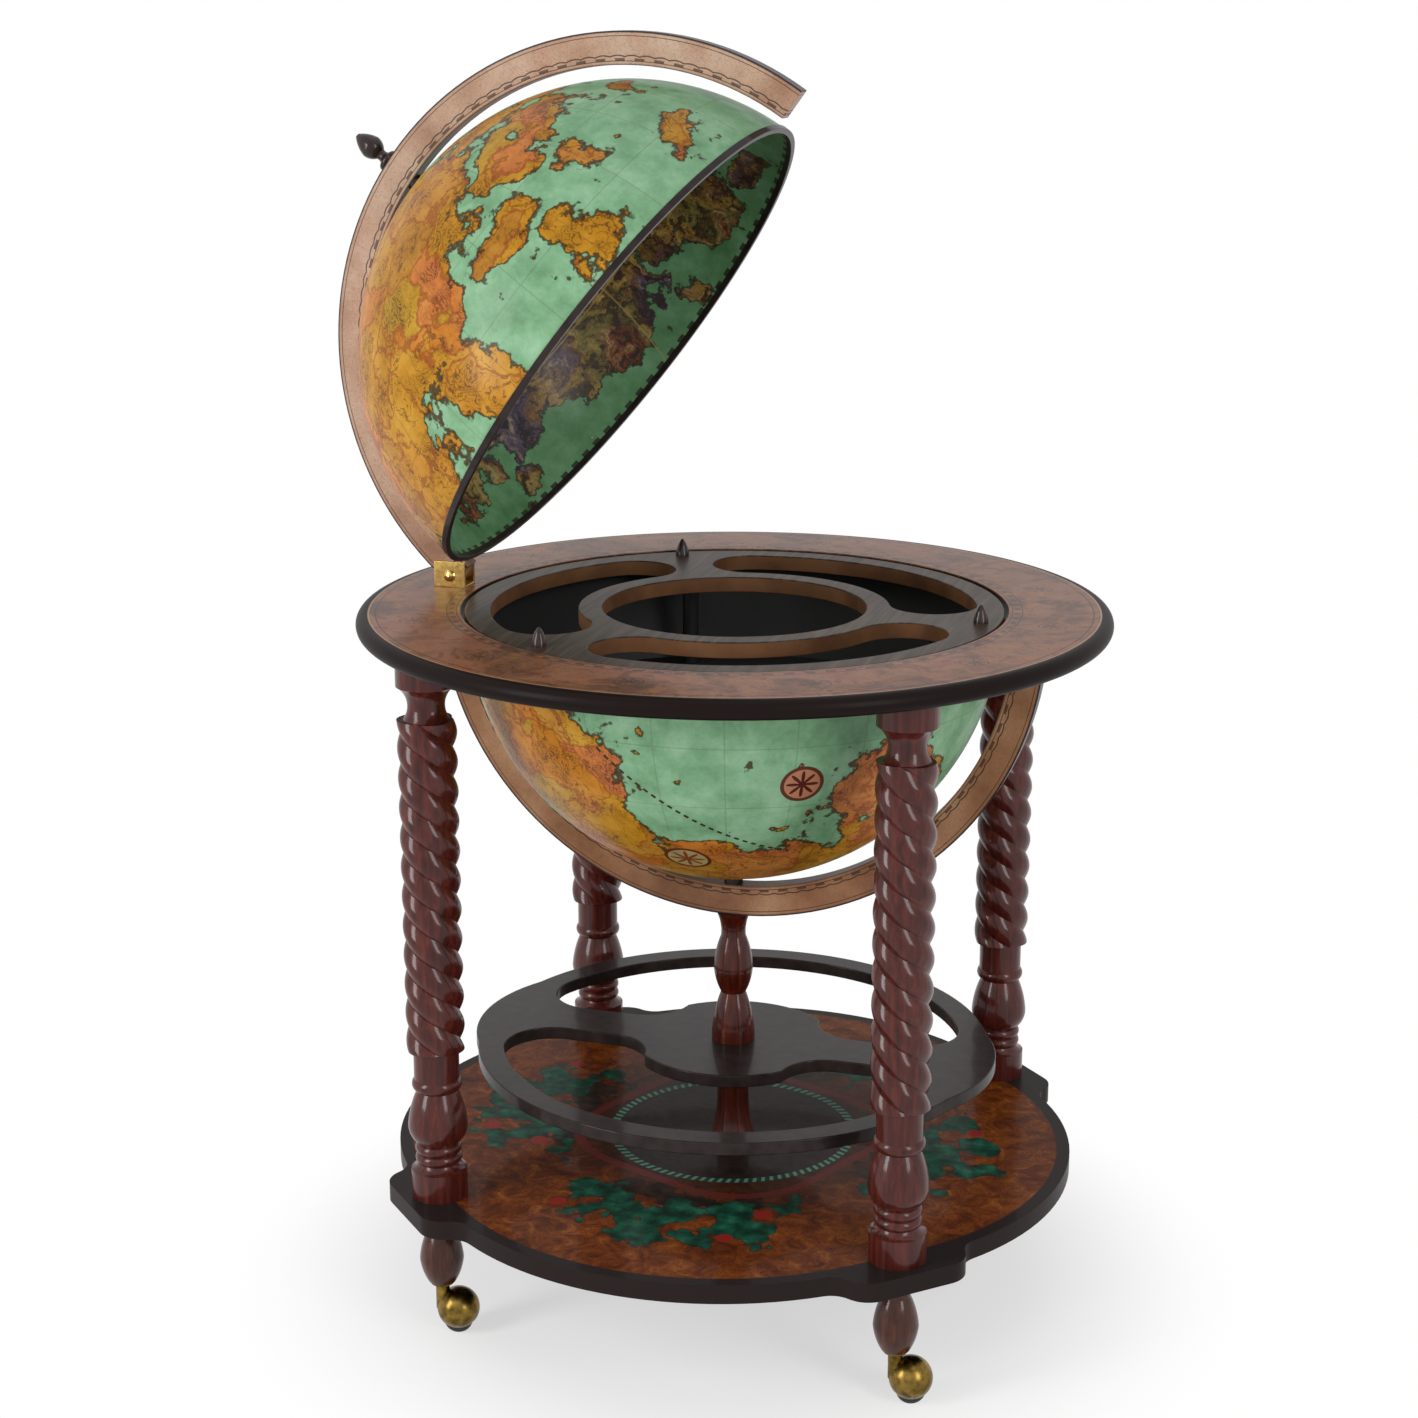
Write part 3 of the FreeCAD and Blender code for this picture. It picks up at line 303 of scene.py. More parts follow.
def base_print(tree, place):
    """Varnished print on the dark board: brown burr, sprays of leaves and berries, rope and medallion."""
    x, y, z = add(tree, "SeparateXYZ", {0: place}).outputs
    # Print outline: the board's own four lobes, a little smaller
    x_size = add(tree, "Math", {0: x}, operation="ABSOLUTE")
    y_size = add(tree, "Math", {0: y}, operation="ABSOLUTE")
    longer = add(tree, "Math", {0: x_size, 1: y_size}, operation="MAXIMUM")
    shorter = add(tree, "Math", {0: x_size, 1: y_size}, operation="MINIMUM")
    folded = add(tree, "CombineXYZ", {"X": longer, "Y": shorter})
    from_lobe = add(tree, "VectorMath", {0: folded, 1: (LOBE_OFFSET, 0, 0)}, operation="DISTANCE")
    inside = add(tree, "MapRange", {
        "Value": from_lobe, "From Min": PRINT_RADIUS, "From Max": PRINT_RADIUS - 0.0015})
    on_top = add(tree, "Math", {0: z, 1: base_top - PRINT_DEPTH}, operation="GREATER_THAN")
    printed = add(tree, "Math", {0: inside, 1: on_top}, operation="MULTIPLY")
    # Ground: burr clouds and fine dark speckle
    burr = {"Vector": place, "Scale": 1000 / BURR_MM, "Detail": 8, "Roughness": 0.65, "Distortion": 1.2}
    clouds = add(tree, "TexNoise", burr)
    ground = add(tree, "ValToRGB", {0: clouds}, stops={
        0.3: "#3E1A08", 0.45: "#662E0E", 0.6: "#864618", 0.75: "#A86A30"})
    specks = add(tree, "TexNoise", {"Vector": place, "Scale": 1000 / SPECKLE_MM, "Detail": 3})
    speckle = add(tree, "MapRange", {"Value": specks, "From Min": 0.54, "From Max": 0.66, "To Max": 0.6})
    colour = add(tree, "Mix", {0: speckle, 6: ground, 7: "#32170A"})
    # Polar coordinates about the column, folded into equal sectors; painted shade darkens the ground towards
    # the column
    reach, angle = polar(tree, x, y)
    painted_shade = add(tree, "MapRange", {"Value": reach, "From Min": PAINTED_SHADE_REACH[0], "From Max": PAINTED_SHADE_REACH[1], "To Max": 0.75})
    colour = add(tree, "Mix", {0: painted_shade, 6: colour, 7: "#241814"})
    along, side = sector_spot(tree, reach, angle, SPRAYS, SPRAY_REACH)
    spray = add(tree, "CombineXYZ", {"X": along, "Y": side})
    # Leaves and stems are round patches, drawn out of shape and notched by noise
    drift = add(tree, "TexNoise", {"Vector": place, "Scale": 1000 / BURR_MM, "Detail": 3})
    drift = add(tree, "VectorMath", {0: drift.outputs["Color"], 1: (0.5, 0.5, 0.5)}, operation="SUBTRACT")
    drift = add(tree, "VectorMath", {0: drift, 1: (0.045, 0.045, 0)}, operation="MULTIPLY")
    bent = add(tree, "VectorMath", {0: spray, 1: drift}, operation="ADD")
    tint = add(tree, "TexNoise", {"Vector": place, "Scale": 1000 / BURR_MM * 1.4, "Detail": 4})
    greens = add(tree, "ValToRGB", {0: tint}, stops={
        0.36: "#0A2A1E", 0.48: "#113F30", 0.6: "#1A5642", 0.7: "#2A6A50"})
    barks = add(tree, "ValToRGB", {0: tint}, stops={0.4: "#1C120E", 0.65: "#3E2A20"})
    lobe = {"Vector": place, "Scale": 1000 / LEAF_LOBE_MM}
    lobes = add(tree, "TexVoronoi", lobe, distance="MANHATTAN")
    lobes = add(tree, "Math", {0: lobes, 1: 0.026, 2: -0.021}, operation="MULTIPLY_ADD")
    for spots, paint in ((STEMS, barks), (LEAVES, greens)):
        edge = patches(tree, bent, spots, 0.004)
        edge = add(tree, "Math", {0: edge, 1: lobes}, operation="ADD")
        inner = add(tree, "MapRange", {"Value": edge, "From Min": 0.001, "From Max": -0.001})
        colour = add(tree, "Mix", {0: inner, 6: colour, 7: paint})
        line = add(tree, "Math", {0: edge, 1: 0, 2: 0.0011}, operation="COMPARE")
        colour = inked(tree, colour, "#1E1410", line, 0.6)
    edge = patches(tree, spray, BERRIES, 0.0005)
    berry = add(tree, "MapRange", {"Value": edge, "From Min": 0.0005, "From Max": -0.0005})
    reds = add(tree, "MapRange", {"Value": edge, "From Min": -0.009})
    reds = add(tree, "ValToRGB", {0: reds}, stops={0: "#8E261C", 1: "#4A0F0C"})
    colour = add(tree, "Mix", {0: berry, 6: colour, 7: reds})
    # Ribbon that waves round the medallion, the medallion and its rope
    wave = add(tree, "Math", {0: angle, 1: SPRAYS}, operation="MULTIPLY")
    wave = add(tree, "Math", {0: wave}, operation="SINE")
    wave = add(tree, "Math", {0: wave, 1: RIBBON_WAVE, 2: RIBBON_RADIUS}, operation="MULTIPLY_ADD")
    off = add(tree, "Math", {0: reach, 1: wave}, operation="SUBTRACT")
    off = add(tree, "Math", {0: off}, operation="ABSOLUTE")
    ribbon = add(tree, "MapRange", {
        "Value": off, "From Min": RIBBON_WIDTH, "From Max": RIBBON_WIDTH - 0.0015, "To Max": 0.8})
    colour = add(tree, "Mix", {0: ribbon, 6: colour, 7: "#6E2A26"})
    disc = add(tree, "MapRange", {
        "Value": reach, "From Min": MEDALLION_RADIUS, "From Max": MEDALLION_RADIUS - 0.001})
    umber = add(tree, "ValToRGB", {0: clouds}, stops={0.35: "#1E1714", 0.7: "#3A2C26"})
    colour = add(tree, "Mix", {0: disc, 6: colour, 7: umber})
    off = add(tree, "Math", {0: reach, 1: MEDALLION_RADIUS}, operation="SUBTRACT")
    lay = add(tree, "Math", {0: off, 1: 1 / ROPE_WIDTH}, operation="MULTIPLY")
    strand = add(tree, "Math", {0: angle, 1: ROPE_STRANDS, 2: lay}, operation="MULTIPLY_ADD")
    strand = add(tree, "Math", {0: strand}, operation="SINE")
    twine = add(tree, "ValToRGB", {0: strand}, stops={0: "#1E4238", 0.4: "#6E9A86"})
    off = add(tree, "Math", {0: off}, operation="ABSOLUTE")
    rope = add(tree, "MapRange", {"Value": off, "From Min": ROPE_WIDTH, "From Max": ROPE_WIDTH - 0.001})
    colour = add(tree, "Mix", {0: rope, 6: colour, 7: twine})
    colour = add(tree, "Mix", {0: printed, 6: "#292120", 7: colour})
    return add(tree, "BsdfPrincipled", {
        "Base Color": colour, "Roughness": 0.42, "Specular IOR Level": 0.03,
        "Coat Weight": 0.08, "Coat Roughness": 0.07, "Coat IOR": 1.45})


dark_lacquer = finish("espresso_lacquer", espresso)
smoothed("base_shelf", finish("printed_base", base_print), eased=1.6)

# Legs: four mahogany posts turned at foot and neck, carved between into a rope of three strands.
# Red-brown lacquer over the stained wood gives each ridge a long highlight.
mahogany = finish("lacquered_mahogany", lacquered_wood, "#300F0C", "#4A1A14", "#632A21")
for corner in CORNERS:
    smoothed(f"leg_{corner}", mahogany, crease=40)
smoothed("leg_dowels", beech)

# Column and gallery shelf: a spindle in two lengths stands on the base and carries the dark sawn shelf,
# a rail with a cross band. A steel rod runs through them all.
red_mahogany = finish("red_mahogany", lacquered_wood, "#300B04", "#4A1608", "#62240E")
smoothed("column_lower", red_mahogany)
smoothed("column_upper", red_mahogany)
smoothed("gallery_shelf", dark_lacquer, eased=1.2)
smoothed("column_rod", drawn_steel)

# Table ring: eight segments glued into a ring with a half-round dark edge, under one varnished brown print.
# The print has fine rules, a scale of degrees along the globe and a row of compass stars.
ring_nodes = [node for node in frame["nodes"] if node.startswith("table_ring")]
ring_outer = max(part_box(node)[1].x for node in ring_nodes)
ring_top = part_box(ring_nodes[0])[1].z
RING_EDGE = 0.011
BORDER_INSET = 0.012
TOP_DEPTH = 0.0012
RING_SCALE = (0.2615, 0.2665)
RING_RULES = (0.2595, 0.2685, 0.334)
RULE_WIDTH = 0.0007
DEGREE_MARKS = 90
RING_STARS = 12
STAR_REACH = 0.301
STAR_RADIUS = 0.0125
PRINT_CLOUD_MM = 60
FIGURE_MM = 30


def star_mask(tree, away, around, sharpness, ray, hub):
    """One within a star of eight points, from the distance and the direction to its middle."""
    points = add(tree, "Math", {0: around, 1: 4}, operation="MULTIPLY")
    points = add(tree, "Math", {0: points}, operation="COSINE")
    points = add(tree, "Math", {0: points}, operation="ABSOLUTE")
    points = add(tree, "Math", {0: points, 1: sharpness}, operation="POWER")
    points = add(tree, "Math", {0: points, 1: ray, 2: hub}, operation="MULTIPLY_ADD")
    return add(tree, "Math", {0: away, 1: points}, operation="LESS_THAN")


def ring_print(tree, place):
    """Varnished brown print with rules, degrees and stars, and the dark lacquered edge round it."""
    x, y, z = add(tree, "SeparateXYZ", {0: place}).outputs
    reach, angle = polar(tree, x, y)
    mist = {"Vector": place, "Scale": 1000 / PRINT_CLOUD_MM, "Detail": 7, "Distortion": 0.8}
    clouds = add(tree, "TexNoise", mist)
    colour = add(tree, "ValToRGB", {0: clouds}, stops={
        0.28: "#58352A", 0.42: "#7E523C", 0.55: "#98664C", 0.68: "#8E5442", 0.8: "#B28458"})
    figure = {"Vector": place, "Scale": 1000 / FIGURE_MM, "Detail": 7, "Roughness": 0.58, "Distortion": 1.8}
    figures = add(tree, "TexNoise", figure)
    for low, high, depth, ink in ((0.55, 0.6, 0.45, "#3E241A"), (0.43, 0.37, 0.4, "#B27236")):
        stain = add(tree, "MapRange", {"Value": figures, "From Min": low, "From Max": high, "To Max": depth})
        colour = add(tree, "Mix", {0: stain, 6: colour, 7: ink})
    specks = add(tree, "TexNoise", {"Vector": place, "Scale": 1000 / SPECKLE_MM, "Detail": 4})
    speckle = add(tree, "MapRange", {"Value": specks, "From Min": 0.55, "From Max": 0.7, "To Max": 0.45})
    colour = add(tree, "Mix", {0: speckle, 6: colour, 7: "#3A2016"})
    # Scale: dark and bare marks of two degrees by turns, between two rules
    tick = stripes(tree, angle, DEGREE_MARKS, 0)
    outside = add(tree, "Math", {0: reach, 1: RING_SCALE[0]}, operation="GREATER_THAN")
    within = add(tree, "Math", {0: reach, 1: RING_SCALE[1]}, operation="LESS_THAN")
    band = add(tree, "Math", {0: outside, 1: within}, operation="MULTIPLY")
    tick = add(tree, "Math", {0: tick, 1: band}, operation="MULTIPLY")
    colour = inked(tree, colour, "#2A1A14", tick, 0.7)
    for rule in RING_RULES:
        line = add(tree, "Math", {0: reach, 1: rule, 2: RULE_WIDTH}, operation="COMPARE")
        colour = inked(tree, colour, "#2A1A14", line, 0.75)
    line = add(tree, "Math", {0: reach, 1: ring_outer - BORDER_INSET, 2: RULE_WIDTH}, operation="COMPARE")
    colour = add(tree, "Mix", {0: line, 6: colour, 7: "#B08C6A"})
    # Compass stars: eight points in a fine ring, one in each sector
    along, side = sector_spot(tree, reach, angle, RING_STARS, STAR_REACH)
    away, around = polar(tree, along, side)
    star = star_mask(tree, away, around, 3, 0.65 * STAR_RADIUS, 0.25 * STAR_RADIUS)
    circle = add(tree, "Math", {0: away, 1: STAR_RADIUS, 2: RULE_WIDTH}, operation="COMPARE")
    mark = add(tree, "Math", {0: star, 1: circle}, operation="MAXIMUM")
    colour = inked(tree, colour, "#2E1C16", mark, 0.6)
    # The lacquered edge: everything below the top face or beyond its flat
    on_top = add(tree, "Math", {0: z, 1: ring_top - TOP_DEPTH}, operation="GREATER_THAN")
    on_flat = add(tree, "Math", {0: reach, 1: ring_outer - RING_EDGE}, operation="LESS_THAN")
    printed = add(tree, "Math", {0: on_top, 1: on_flat}, operation="MULTIPLY")
    colour = add(tree, "Mix", {0: printed, 6: "#1D1514", 7: colour})
    coat = add(tree, "MapRange", {"Value": printed, "To Min": 0.04, "To Max": 0.3})
    return add(tree, "BsdfPrincipled", {
        "Base Color": colour, "Roughness": 0.45, "Specular IOR Level": 0.04,
        "Coat Weight": coat, "Coat Roughness": 0.2, "Coat IOR": 1.45})


printed_ring = finish("printed_ring", ring_print)
for node in ring_nodes:
    smoothed(node, printed_ring, crease=50)

# Lower meridian: a half ring sawn from board, pinned under the table ring, that carries the bowl.
# Its faces have a tan print with a scale along the inner edge, and its edges are stained dark.
bowl_low, bowl_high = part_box("bowl")
globe_radius = (bowl_high.x - bowl_low.x) / 2
globe_centre = Vector((0, 0, bowl_low.z + globe_radius))
meridian_outer = globe_centre.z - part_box("lower_meridian")[0].z
MERIDIAN_WIDTH = 0.030
MERIDIAN_RULES = (0.0035, 0.0255)
FINE_RULE = 0.0004
DEGREE_BAND = (0.0048, 0.0012)
SCALLOPS = 60
SCALLOP_DEPTH = 0.0072
SCALLOP_HEIGHT = 0.0013
SCALLOP_LINE = 0.0006
ORNAMENT_MM = 7


def meridian_print(tree, place, centre, turn, outer, deep, middle, pale):
    """Tan varnished print: fine ornament, scallops and degrees by the inner edge, dark stained borders."""
    turned = {"Vector": place, "Location": centre, "Rotation": (0, -turn, 0)}
    local = add(tree, "Mapping", turned, vector_type="TEXTURE")
    x, y, z = add(tree, "SeparateXYZ", {0: local}).outputs
    reach, angle = polar(tree, x, z)
    depth = add(tree, "Math", {0: reach, 1: outer - MERIDIAN_WIDTH}, operation="SUBTRACT")
    clouds = add(tree, "TexNoise", {"Vector": local, "Scale": 1000 / PRINT_CLOUD_MM, "Detail": 6})
    colour = add(tree, "ValToRGB", {0: clouds}, stops={0.3: deep, 0.5: middle, 0.7: pale})
    # Ornament: fine curls that fill the field
    curl = {"Vector": local, "Scale": 1000 / ORNAMENT_MM, "Detail": 3, "Distortion": 2.5}
    curls = add(tree, "TexNoise", curl)
    curls = add(tree, "Math", {0: curls, 1: 0.5, 2: 0.022}, operation="COMPARE")
    colour = inked(tree, colour, "#6E4830", curls, 0.35)
    for line in MERIDIAN_RULES:
        rule = add(tree, "Math", {0: depth, 1: line, 2: FINE_RULE}, operation="COMPARE")
        colour = inked(tree, colour, "#3A261C", rule, 0.8)
    tick = stripes(tree, angle, DEGREE_MARKS, 0)
    band = add(tree, "Math", {0: depth, 1: DEGREE_BAND[0], 2: DEGREE_BAND[1]}, operation="COMPARE")
    tick = add(tree, "Math", {0: tick, 1: band}, operation="MULTIPLY")
    colour = inked(tree, colour, "#33211A", tick, 0.75)
    scallop = add(tree, "Math", {0: angle, 1: SCALLOPS}, operation="MULTIPLY")
    scallop = add(tree, "Math", {0: scallop}, operation="SINE")
    scallop = add(tree, "Math", {0: scallop}, operation="ABSOLUTE")
    scallop = add(tree, "Math", {0: scallop, 1: SCALLOP_HEIGHT, 2: SCALLOP_DEPTH}, operation="MULTIPLY_ADD")
    edging = add(tree, "Math", {0: depth, 1: scallop, 2: SCALLOP_LINE}, operation="COMPARE")
    colour = inked(tree, colour, "#33211A", edging, 0.85)
    # Stained borders: the outer edge all over, and a thin line of it on both faces
    rim = add(tree, "MapRange", {
        "Value": depth, "From Min": MERIDIAN_WIDTH - 0.0022, "From Max": MERIDIAN_WIDTH - 0.0012})
    sill = add(tree, "MapRange", {"Value": depth, "From Min": 0.0016, "From Max": 0.0008, "To Max": 0.6})
    border = add(tree, "Math", {0: rim, 1: sill}, operation="MAXIMUM")
    colour = add(tree, "Mix", {0: border, 6: colour, 7: "#33282A"})
    return add(tree, "BsdfPrincipled", {
        "Base Color": colour, "Roughness": 0.45, "Specular IOR Level": 0.1,
        "Coat Weight": 0.2, "Coat Roughness": 0.22, "Coat IOR": 1.45})


lower_tan = ("#84583C", "#A27454", "#B88E6C")
lower_print = finish("printed_lower_meridian", meridian_print, globe_centre, 0, meridian_outer, *lower_tan)
smoothed("lower_meridian", lower_print, eased=0.8)
smoothed("meridian_dowels", beech)
smoothed("bowl_spacer", dark_lacquer)
smoothed("bowl_screw", drawn_steel)

# Bowl: the lower half of the globe, pressed fibre with a varnished map outside and black paper inside.
# Lands are ochre, gold and salmon with brown coasts, on a sea of pale green.
GLOBE_WALL = 0.004
LANDS = (
    (-118, 50, 33), (-146, 24, 24), (-92, 58, 20), (-100, 32, 16), (-170, 56, 26), (-128, 8, 13),
    (-84, 44, 10), (-176, 4, 14), (-62, 60, 7), (-40, 60, 8), (-54, 38, 8), (-34, 44, 9), (-44, 26, 5),
    (-68, 26, 7), (-18, 54, 8), (-14, 32, 6), (-94, 10, 8), (-58, 12, 5), (-24, 12, 6), (-122, -22, 23),
    (-112, -46, 15), (-34, -26, 15), (-24, -48, 11), (-70, -72, 27), (40, 44, 30), (66, 14, 18),
    (52, -28, 18), (106, 40, 22), (122, -12, 20), (150, -44, 18), (96, -54, 13), (14, 66, 12),
)
COAST_WIDTH = 0.012
COAST_BEND_MM = 89.3
CRINKLE_MM = 25
ISLET_MM = 31.25
MOTTLE_MM = 35.7
NATION_MM = 58
RIVER_MM = 50
HATCH_MM = 5
GRATICULE = radians(15)
GRATICULE_LINE = 0.0022
ROSES = ((-58, -24, 0.072, "#C4553A", "#4E1A14"), (-88, -50, 0.08, "#A8A070", "#7A3E24"))
ROUTE = ((-104, -16), (-56, -46))
ROUTE_DASHES = 90
ROUTE_LINE = 0.0055
ROSE_LINE = 0.007


def direction(longitude, latitude):
    """The point of a globe of radius one at a longitude and latitude in degrees."""
    east, north = radians(longitude), radians(latitude)
    return Vector((cos(north) * cos(east), cos(north) * sin(east), sin(north)))


def on_globe(size):
    """The scale of a pattern of a size in millimetres, on a globe of radius one."""
    return globe_radius * 1000 / size


def globe_place(tree, place, centre, turn):
    """Coordinates on a globe of radius one, about its own centre and pole."""
    size = (globe_radius, globe_radius, globe_radius)
    turned = {"Vector": place, "Location": centre, "Rotation": (0, -turn, 0), "Scale": size}
    return add(tree, "Mapping", turned, vector_type="TEXTURE")


# A wave texture of scale one has a line at every pi / 10
hatch_scale = pi / 10 * on_globe(HATCH_MM)


def drawn_patches(tree, ripple, shift, spots, melt):
    """Coordinates drawn out of shape by noise, and how far they lie outside some patches of a globe."""
    drift = add(tree, "TexNoise", ripple).outputs["Color"]
    drift = add(tree, "VectorMath", {0: drift, 1: (0.5, 0.5, 0.5)}, operation="SUBTRACT")
    drift = add(tree, "VectorMath", {0: drift, "Scale": shift}, operation="SCALE")
    point = add(tree, "VectorMath", {0: ripple["Vector"], 1: drift}, operation="ADD")
    discs = [(*direction(longitude, latitude), radians(spread)) for longitude, latitude, spread in spots]
    return point, patches(tree, point, discs, melt)


def map_print(tree, place, centre, turn):
    """Varnished map on paper: warped discs make the lands, and their edges make the coasts."""
    globe = globe_place(tree, place, centre, turn)
    ripple = {"Vector": globe, "Scale": on_globe(COAST_BEND_MM), "Detail": 5, "Roughness": 0.58}
    point, shore = drawn_patches(tree, ripple, 0.6, LANDS, 0.05)
    crinkle = {"Vector": globe, "Scale": on_globe(CRINKLE_MM), "Detail": 8, "Roughness": 0.6}
    ragged = add(tree, "TexNoise", crinkle)
    coast = add(tree, "Math", {0: ragged, 1: 0.3, 2: -0.15}, operation="MULTIPLY_ADD")
    coast = add(tree, "Math", {0: coast, 1: shore}, operation="ADD")
    islets = add(tree, "TexNoise", {"Vector": globe, "Scale": on_globe(ISLET_MM), "Detail": 4})
    islets = add(tree, "Math", {0: islets, 1: -0.8, 2: 0.55}, operation="MULTIPLY_ADD")
    coast = add(tree, "Math", {0: coast, 1: islets}, operation="MINIMUM")
    # Sea: dull green, mottled, darker along the coasts
    mottle = {"Vector": globe, "Scale": on_globe(MOTTLE_MM), "Detail": 9, "Roughness": 0.7}
    mottle = add(tree, "TexNoise", mottle)
    sea = add(tree, "ValToRGB", {0: mottle}, stops={0.3: "#648F68", 0.5: "#80AE86", 0.7: "#9CC4A0"})
    shoal = add(tree, "MapRange", {"Value": coast, "From Min": 0.06, "To Max": 0.6})
    sea = add(tree, "Mix", {0: shoal, 6: sea, 7: "#55805C"})
    # Lands: nations in a few inks, with brown hills and rivers and a darker wash by the coast
    nation = {"Vector": point, "Scale": on_globe(NATION_MM)}
    nations = add(tree, "TexVoronoi", nation)
    inks = add(tree, "SeparateColor", {0: nations.outputs["Color"]})
    land = add(tree, "ValToRGB", {0: inks}, stops={
        0.1: "#BC8618", 0.3: "#C69222", 0.45: "#C26A26", 0.6: "#CE7246", 0.75: "#B69224", 0.9: "#A87222"})
    wash = add(tree, "ValToRGB", {0: mottle}, stops={0.32: "#6A3A10", 0.5: "#B07620", 0.68: "#D8AA4C"})
    land = add(tree, "Mix", {0: 0.42, 6: land, 7: wash})
    # Hatching: wavy engraved lines, gathered into ranges of hills
    stroke = {"Vector": point, "Scale": hatch_scale, "Distortion": 9, "Detail": 3}
    hatch = add(tree, "TexWave", stroke).outputs["Fac"]
    hatch = add(tree, "MapRange", {"Value": hatch, "From Min": 0.6, "From Max": 0.9, "To Max": 0.7})
    ranges = add(tree, "MapRange", {"Value": mottle, "From Min": 0.52, "From Max": 0.4})
    hatch = add(tree, "Math", {0: hatch, 1: ranges}, operation="MULTIPLY")
    land = add(tree, "Mix", {0: hatch, 6: land, 7: "#4A2A10"})
    river = {"Vector": point, "Scale": on_globe(RIVER_MM), "Detail": 5, "Distortion": 0.8}
    river = add(tree, "TexNoise", river)
    river = add(tree, "Math", {0: river, 1: 0.5, 2: 0.007}, operation="COMPARE")
    land = inked(tree, land, "#4E2C12", river, 0.65)
    border = add(tree, "TexVoronoi", nation, feature="DISTANCE_TO_EDGE")
    border = add(tree, "MapRange", {"Value": border, "From Min": 0.045, "From Max": 0.015, "To Max": 0.65})
    land = add(tree, "Mix", {0: border, 6: land, 7: "#8A3E18"})
    bank = add(tree, "MapRange", {"Value": coast, "From Min": -0.07, "To Max": 0.6})
    land = add(tree, "Mix", {0: bank, 6: land, 7: "#7E4216"})
    ashore = add(tree, "Math", {0: coast, 1: 0}, operation="LESS_THAN")
    colour = add(tree, "Mix", {0: ashore, 6: sea, 7: land})
    off = add(tree, "Math", {0: coast}, operation="ABSOLUTE")
    line = add(tree, "MapRange", {
        "Value": off, "From Min": COAST_WIDTH * 1.5, "From Max": COAST_WIDTH * 0.6, "To Max": 0.88})
    colour = add(tree, "Mix", {0: line, 6: colour, 7: "#33200E"})
    # Graticule: faint lines of equal latitude and longitude
    x, y, z = add(tree, "SeparateXYZ", {0: globe}).outputs
    girth, east = polar(tree, x, y)
    north = add(tree, "Math", {0: z, 1: girth}, operation="ARCTAN2")
    north = add(tree, "Math", {0: north, 1: GRATICULE / 2, 2: -GRATICULE / 2}, operation="WRAP")
    east = add(tree, "Math", {0: east, 1: GRATICULE / 2, 2: -GRATICULE / 2}, operation="WRAP")
    east = add(tree, "Math", {0: east, 1: girth}, operation="MULTIPLY")
    north = add(tree, "Math", {0: north, 1: 0, 2: GRATICULE_LINE}, operation="COMPARE")
    east = add(tree, "Math", {0: east, 1: 0, 2: GRATICULE_LINE}, operation="COMPARE")
    grid = add(tree, "Math", {0: north, 1: east}, operation="MAXIMUM")
    colour = inked(tree, colour, "#5A4A2A", grid, 0.28)
    # Route: a dotted line along the great circle between two points
    start, end = (direction(*corner) for corner in ROUTE)
    across = start.cross(end).normalized()
    off = add(tree, "VectorMath", {0: globe, 1: across}, operation="DOT_PRODUCT")
    off = add(tree, "Math", {0: off, 1: 0, 2: ROUTE_LINE}, operation="COMPARE")
    middle = (start + end).normalized()
    near = add(tree, "VectorMath", {0: globe, 1: middle}, operation="DISTANCE")
    near = add(tree, "Math", {0: near, 1: (start - end).length / 2}, operation="LESS_THAN")
    onward = middle.cross(across)
    ahead = add(tree, "VectorMath", {0: globe, 1: onward}, operation="DOT_PRODUCT")
    dash = stripes(tree, ahead, ROUTE_DASHES * 2, -0.2)
    dash = add(tree, "Math", {0: dash, 1: off}, operation="MULTIPLY")
    dash = add(tree, "Math", {0: dash, 1: near}, operation="MULTIPLY")
    colour = add(tree, "Mix", {0: dash, 6: colour, 7: "#3A2A18"})
    # Compass roses: a disc with eight points, turned square to the sphere
    for longitude, latitude, spread, field, needle in ROSES:
        middle = direction(longitude, latitude)
        east = Vector((0, 0, 1)).cross(middle).normalized()
        north = middle.cross(east)
        across = add(tree, "VectorMath", {0: globe, 1: east}, operation="DOT_PRODUCT")
        upward = add(tree, "VectorMath", {0: globe, 1: north}, operation="DOT_PRODUCT")
        away = add(tree, "VectorMath", {0: globe, 1: middle}, operation="DISTANCE")
        around = add(tree, "Math", {0: upward, 1: across}, operation="ARCTAN2")
        star = star_mask(tree, away, around, 2.5, 0.62 * spread, 0.2 * spread)
        disc = add(tree, "Math", {0: away, 1: spread}, operation="LESS_THAN")
        hoop = add(tree, "Math", {0: away, 1: spread, 2: ROSE_LINE}, operation="COMPARE")
        colour = inked(tree, colour, field, disc, 0.7)
        colour = add(tree, "Mix", {0: star, 6: colour, 7: needle})
        colour = add(tree, "Mix", {0: hoop, 6: colour, 7: "#5A2E1C"})
    return add(tree, "BsdfPrincipled", {
        "Base Color": colour, "Roughness": 0.45, "Specular IOR Level": 0.06,
        "Coat Weight": 0.16, "Coat Roughness": 0.2, "Coat IOR": 1.5})


def black_paper(tree, place):
    """Matt black lining paper with a faint tooth."""
    tooth = add(tree, "TexNoise", {"Vector": place, "Scale": 1000 / MOULD_GRAIN_MM, "Detail": 3})
    colour = add(tree, "ValToRGB", {0: tooth}, stops={0.3: "#0C0B0B", 0.7: "#191716"})
    relief = add(tree, "Bump", {"Height": tooth, "Strength": 0.1, "Distance": 0.0003})
    look = {"Base Color": colour, "Roughness": 0.6, "IOR": 1.45, "Normal": relief}
    return add(tree, "BsdfPrincipled", look)


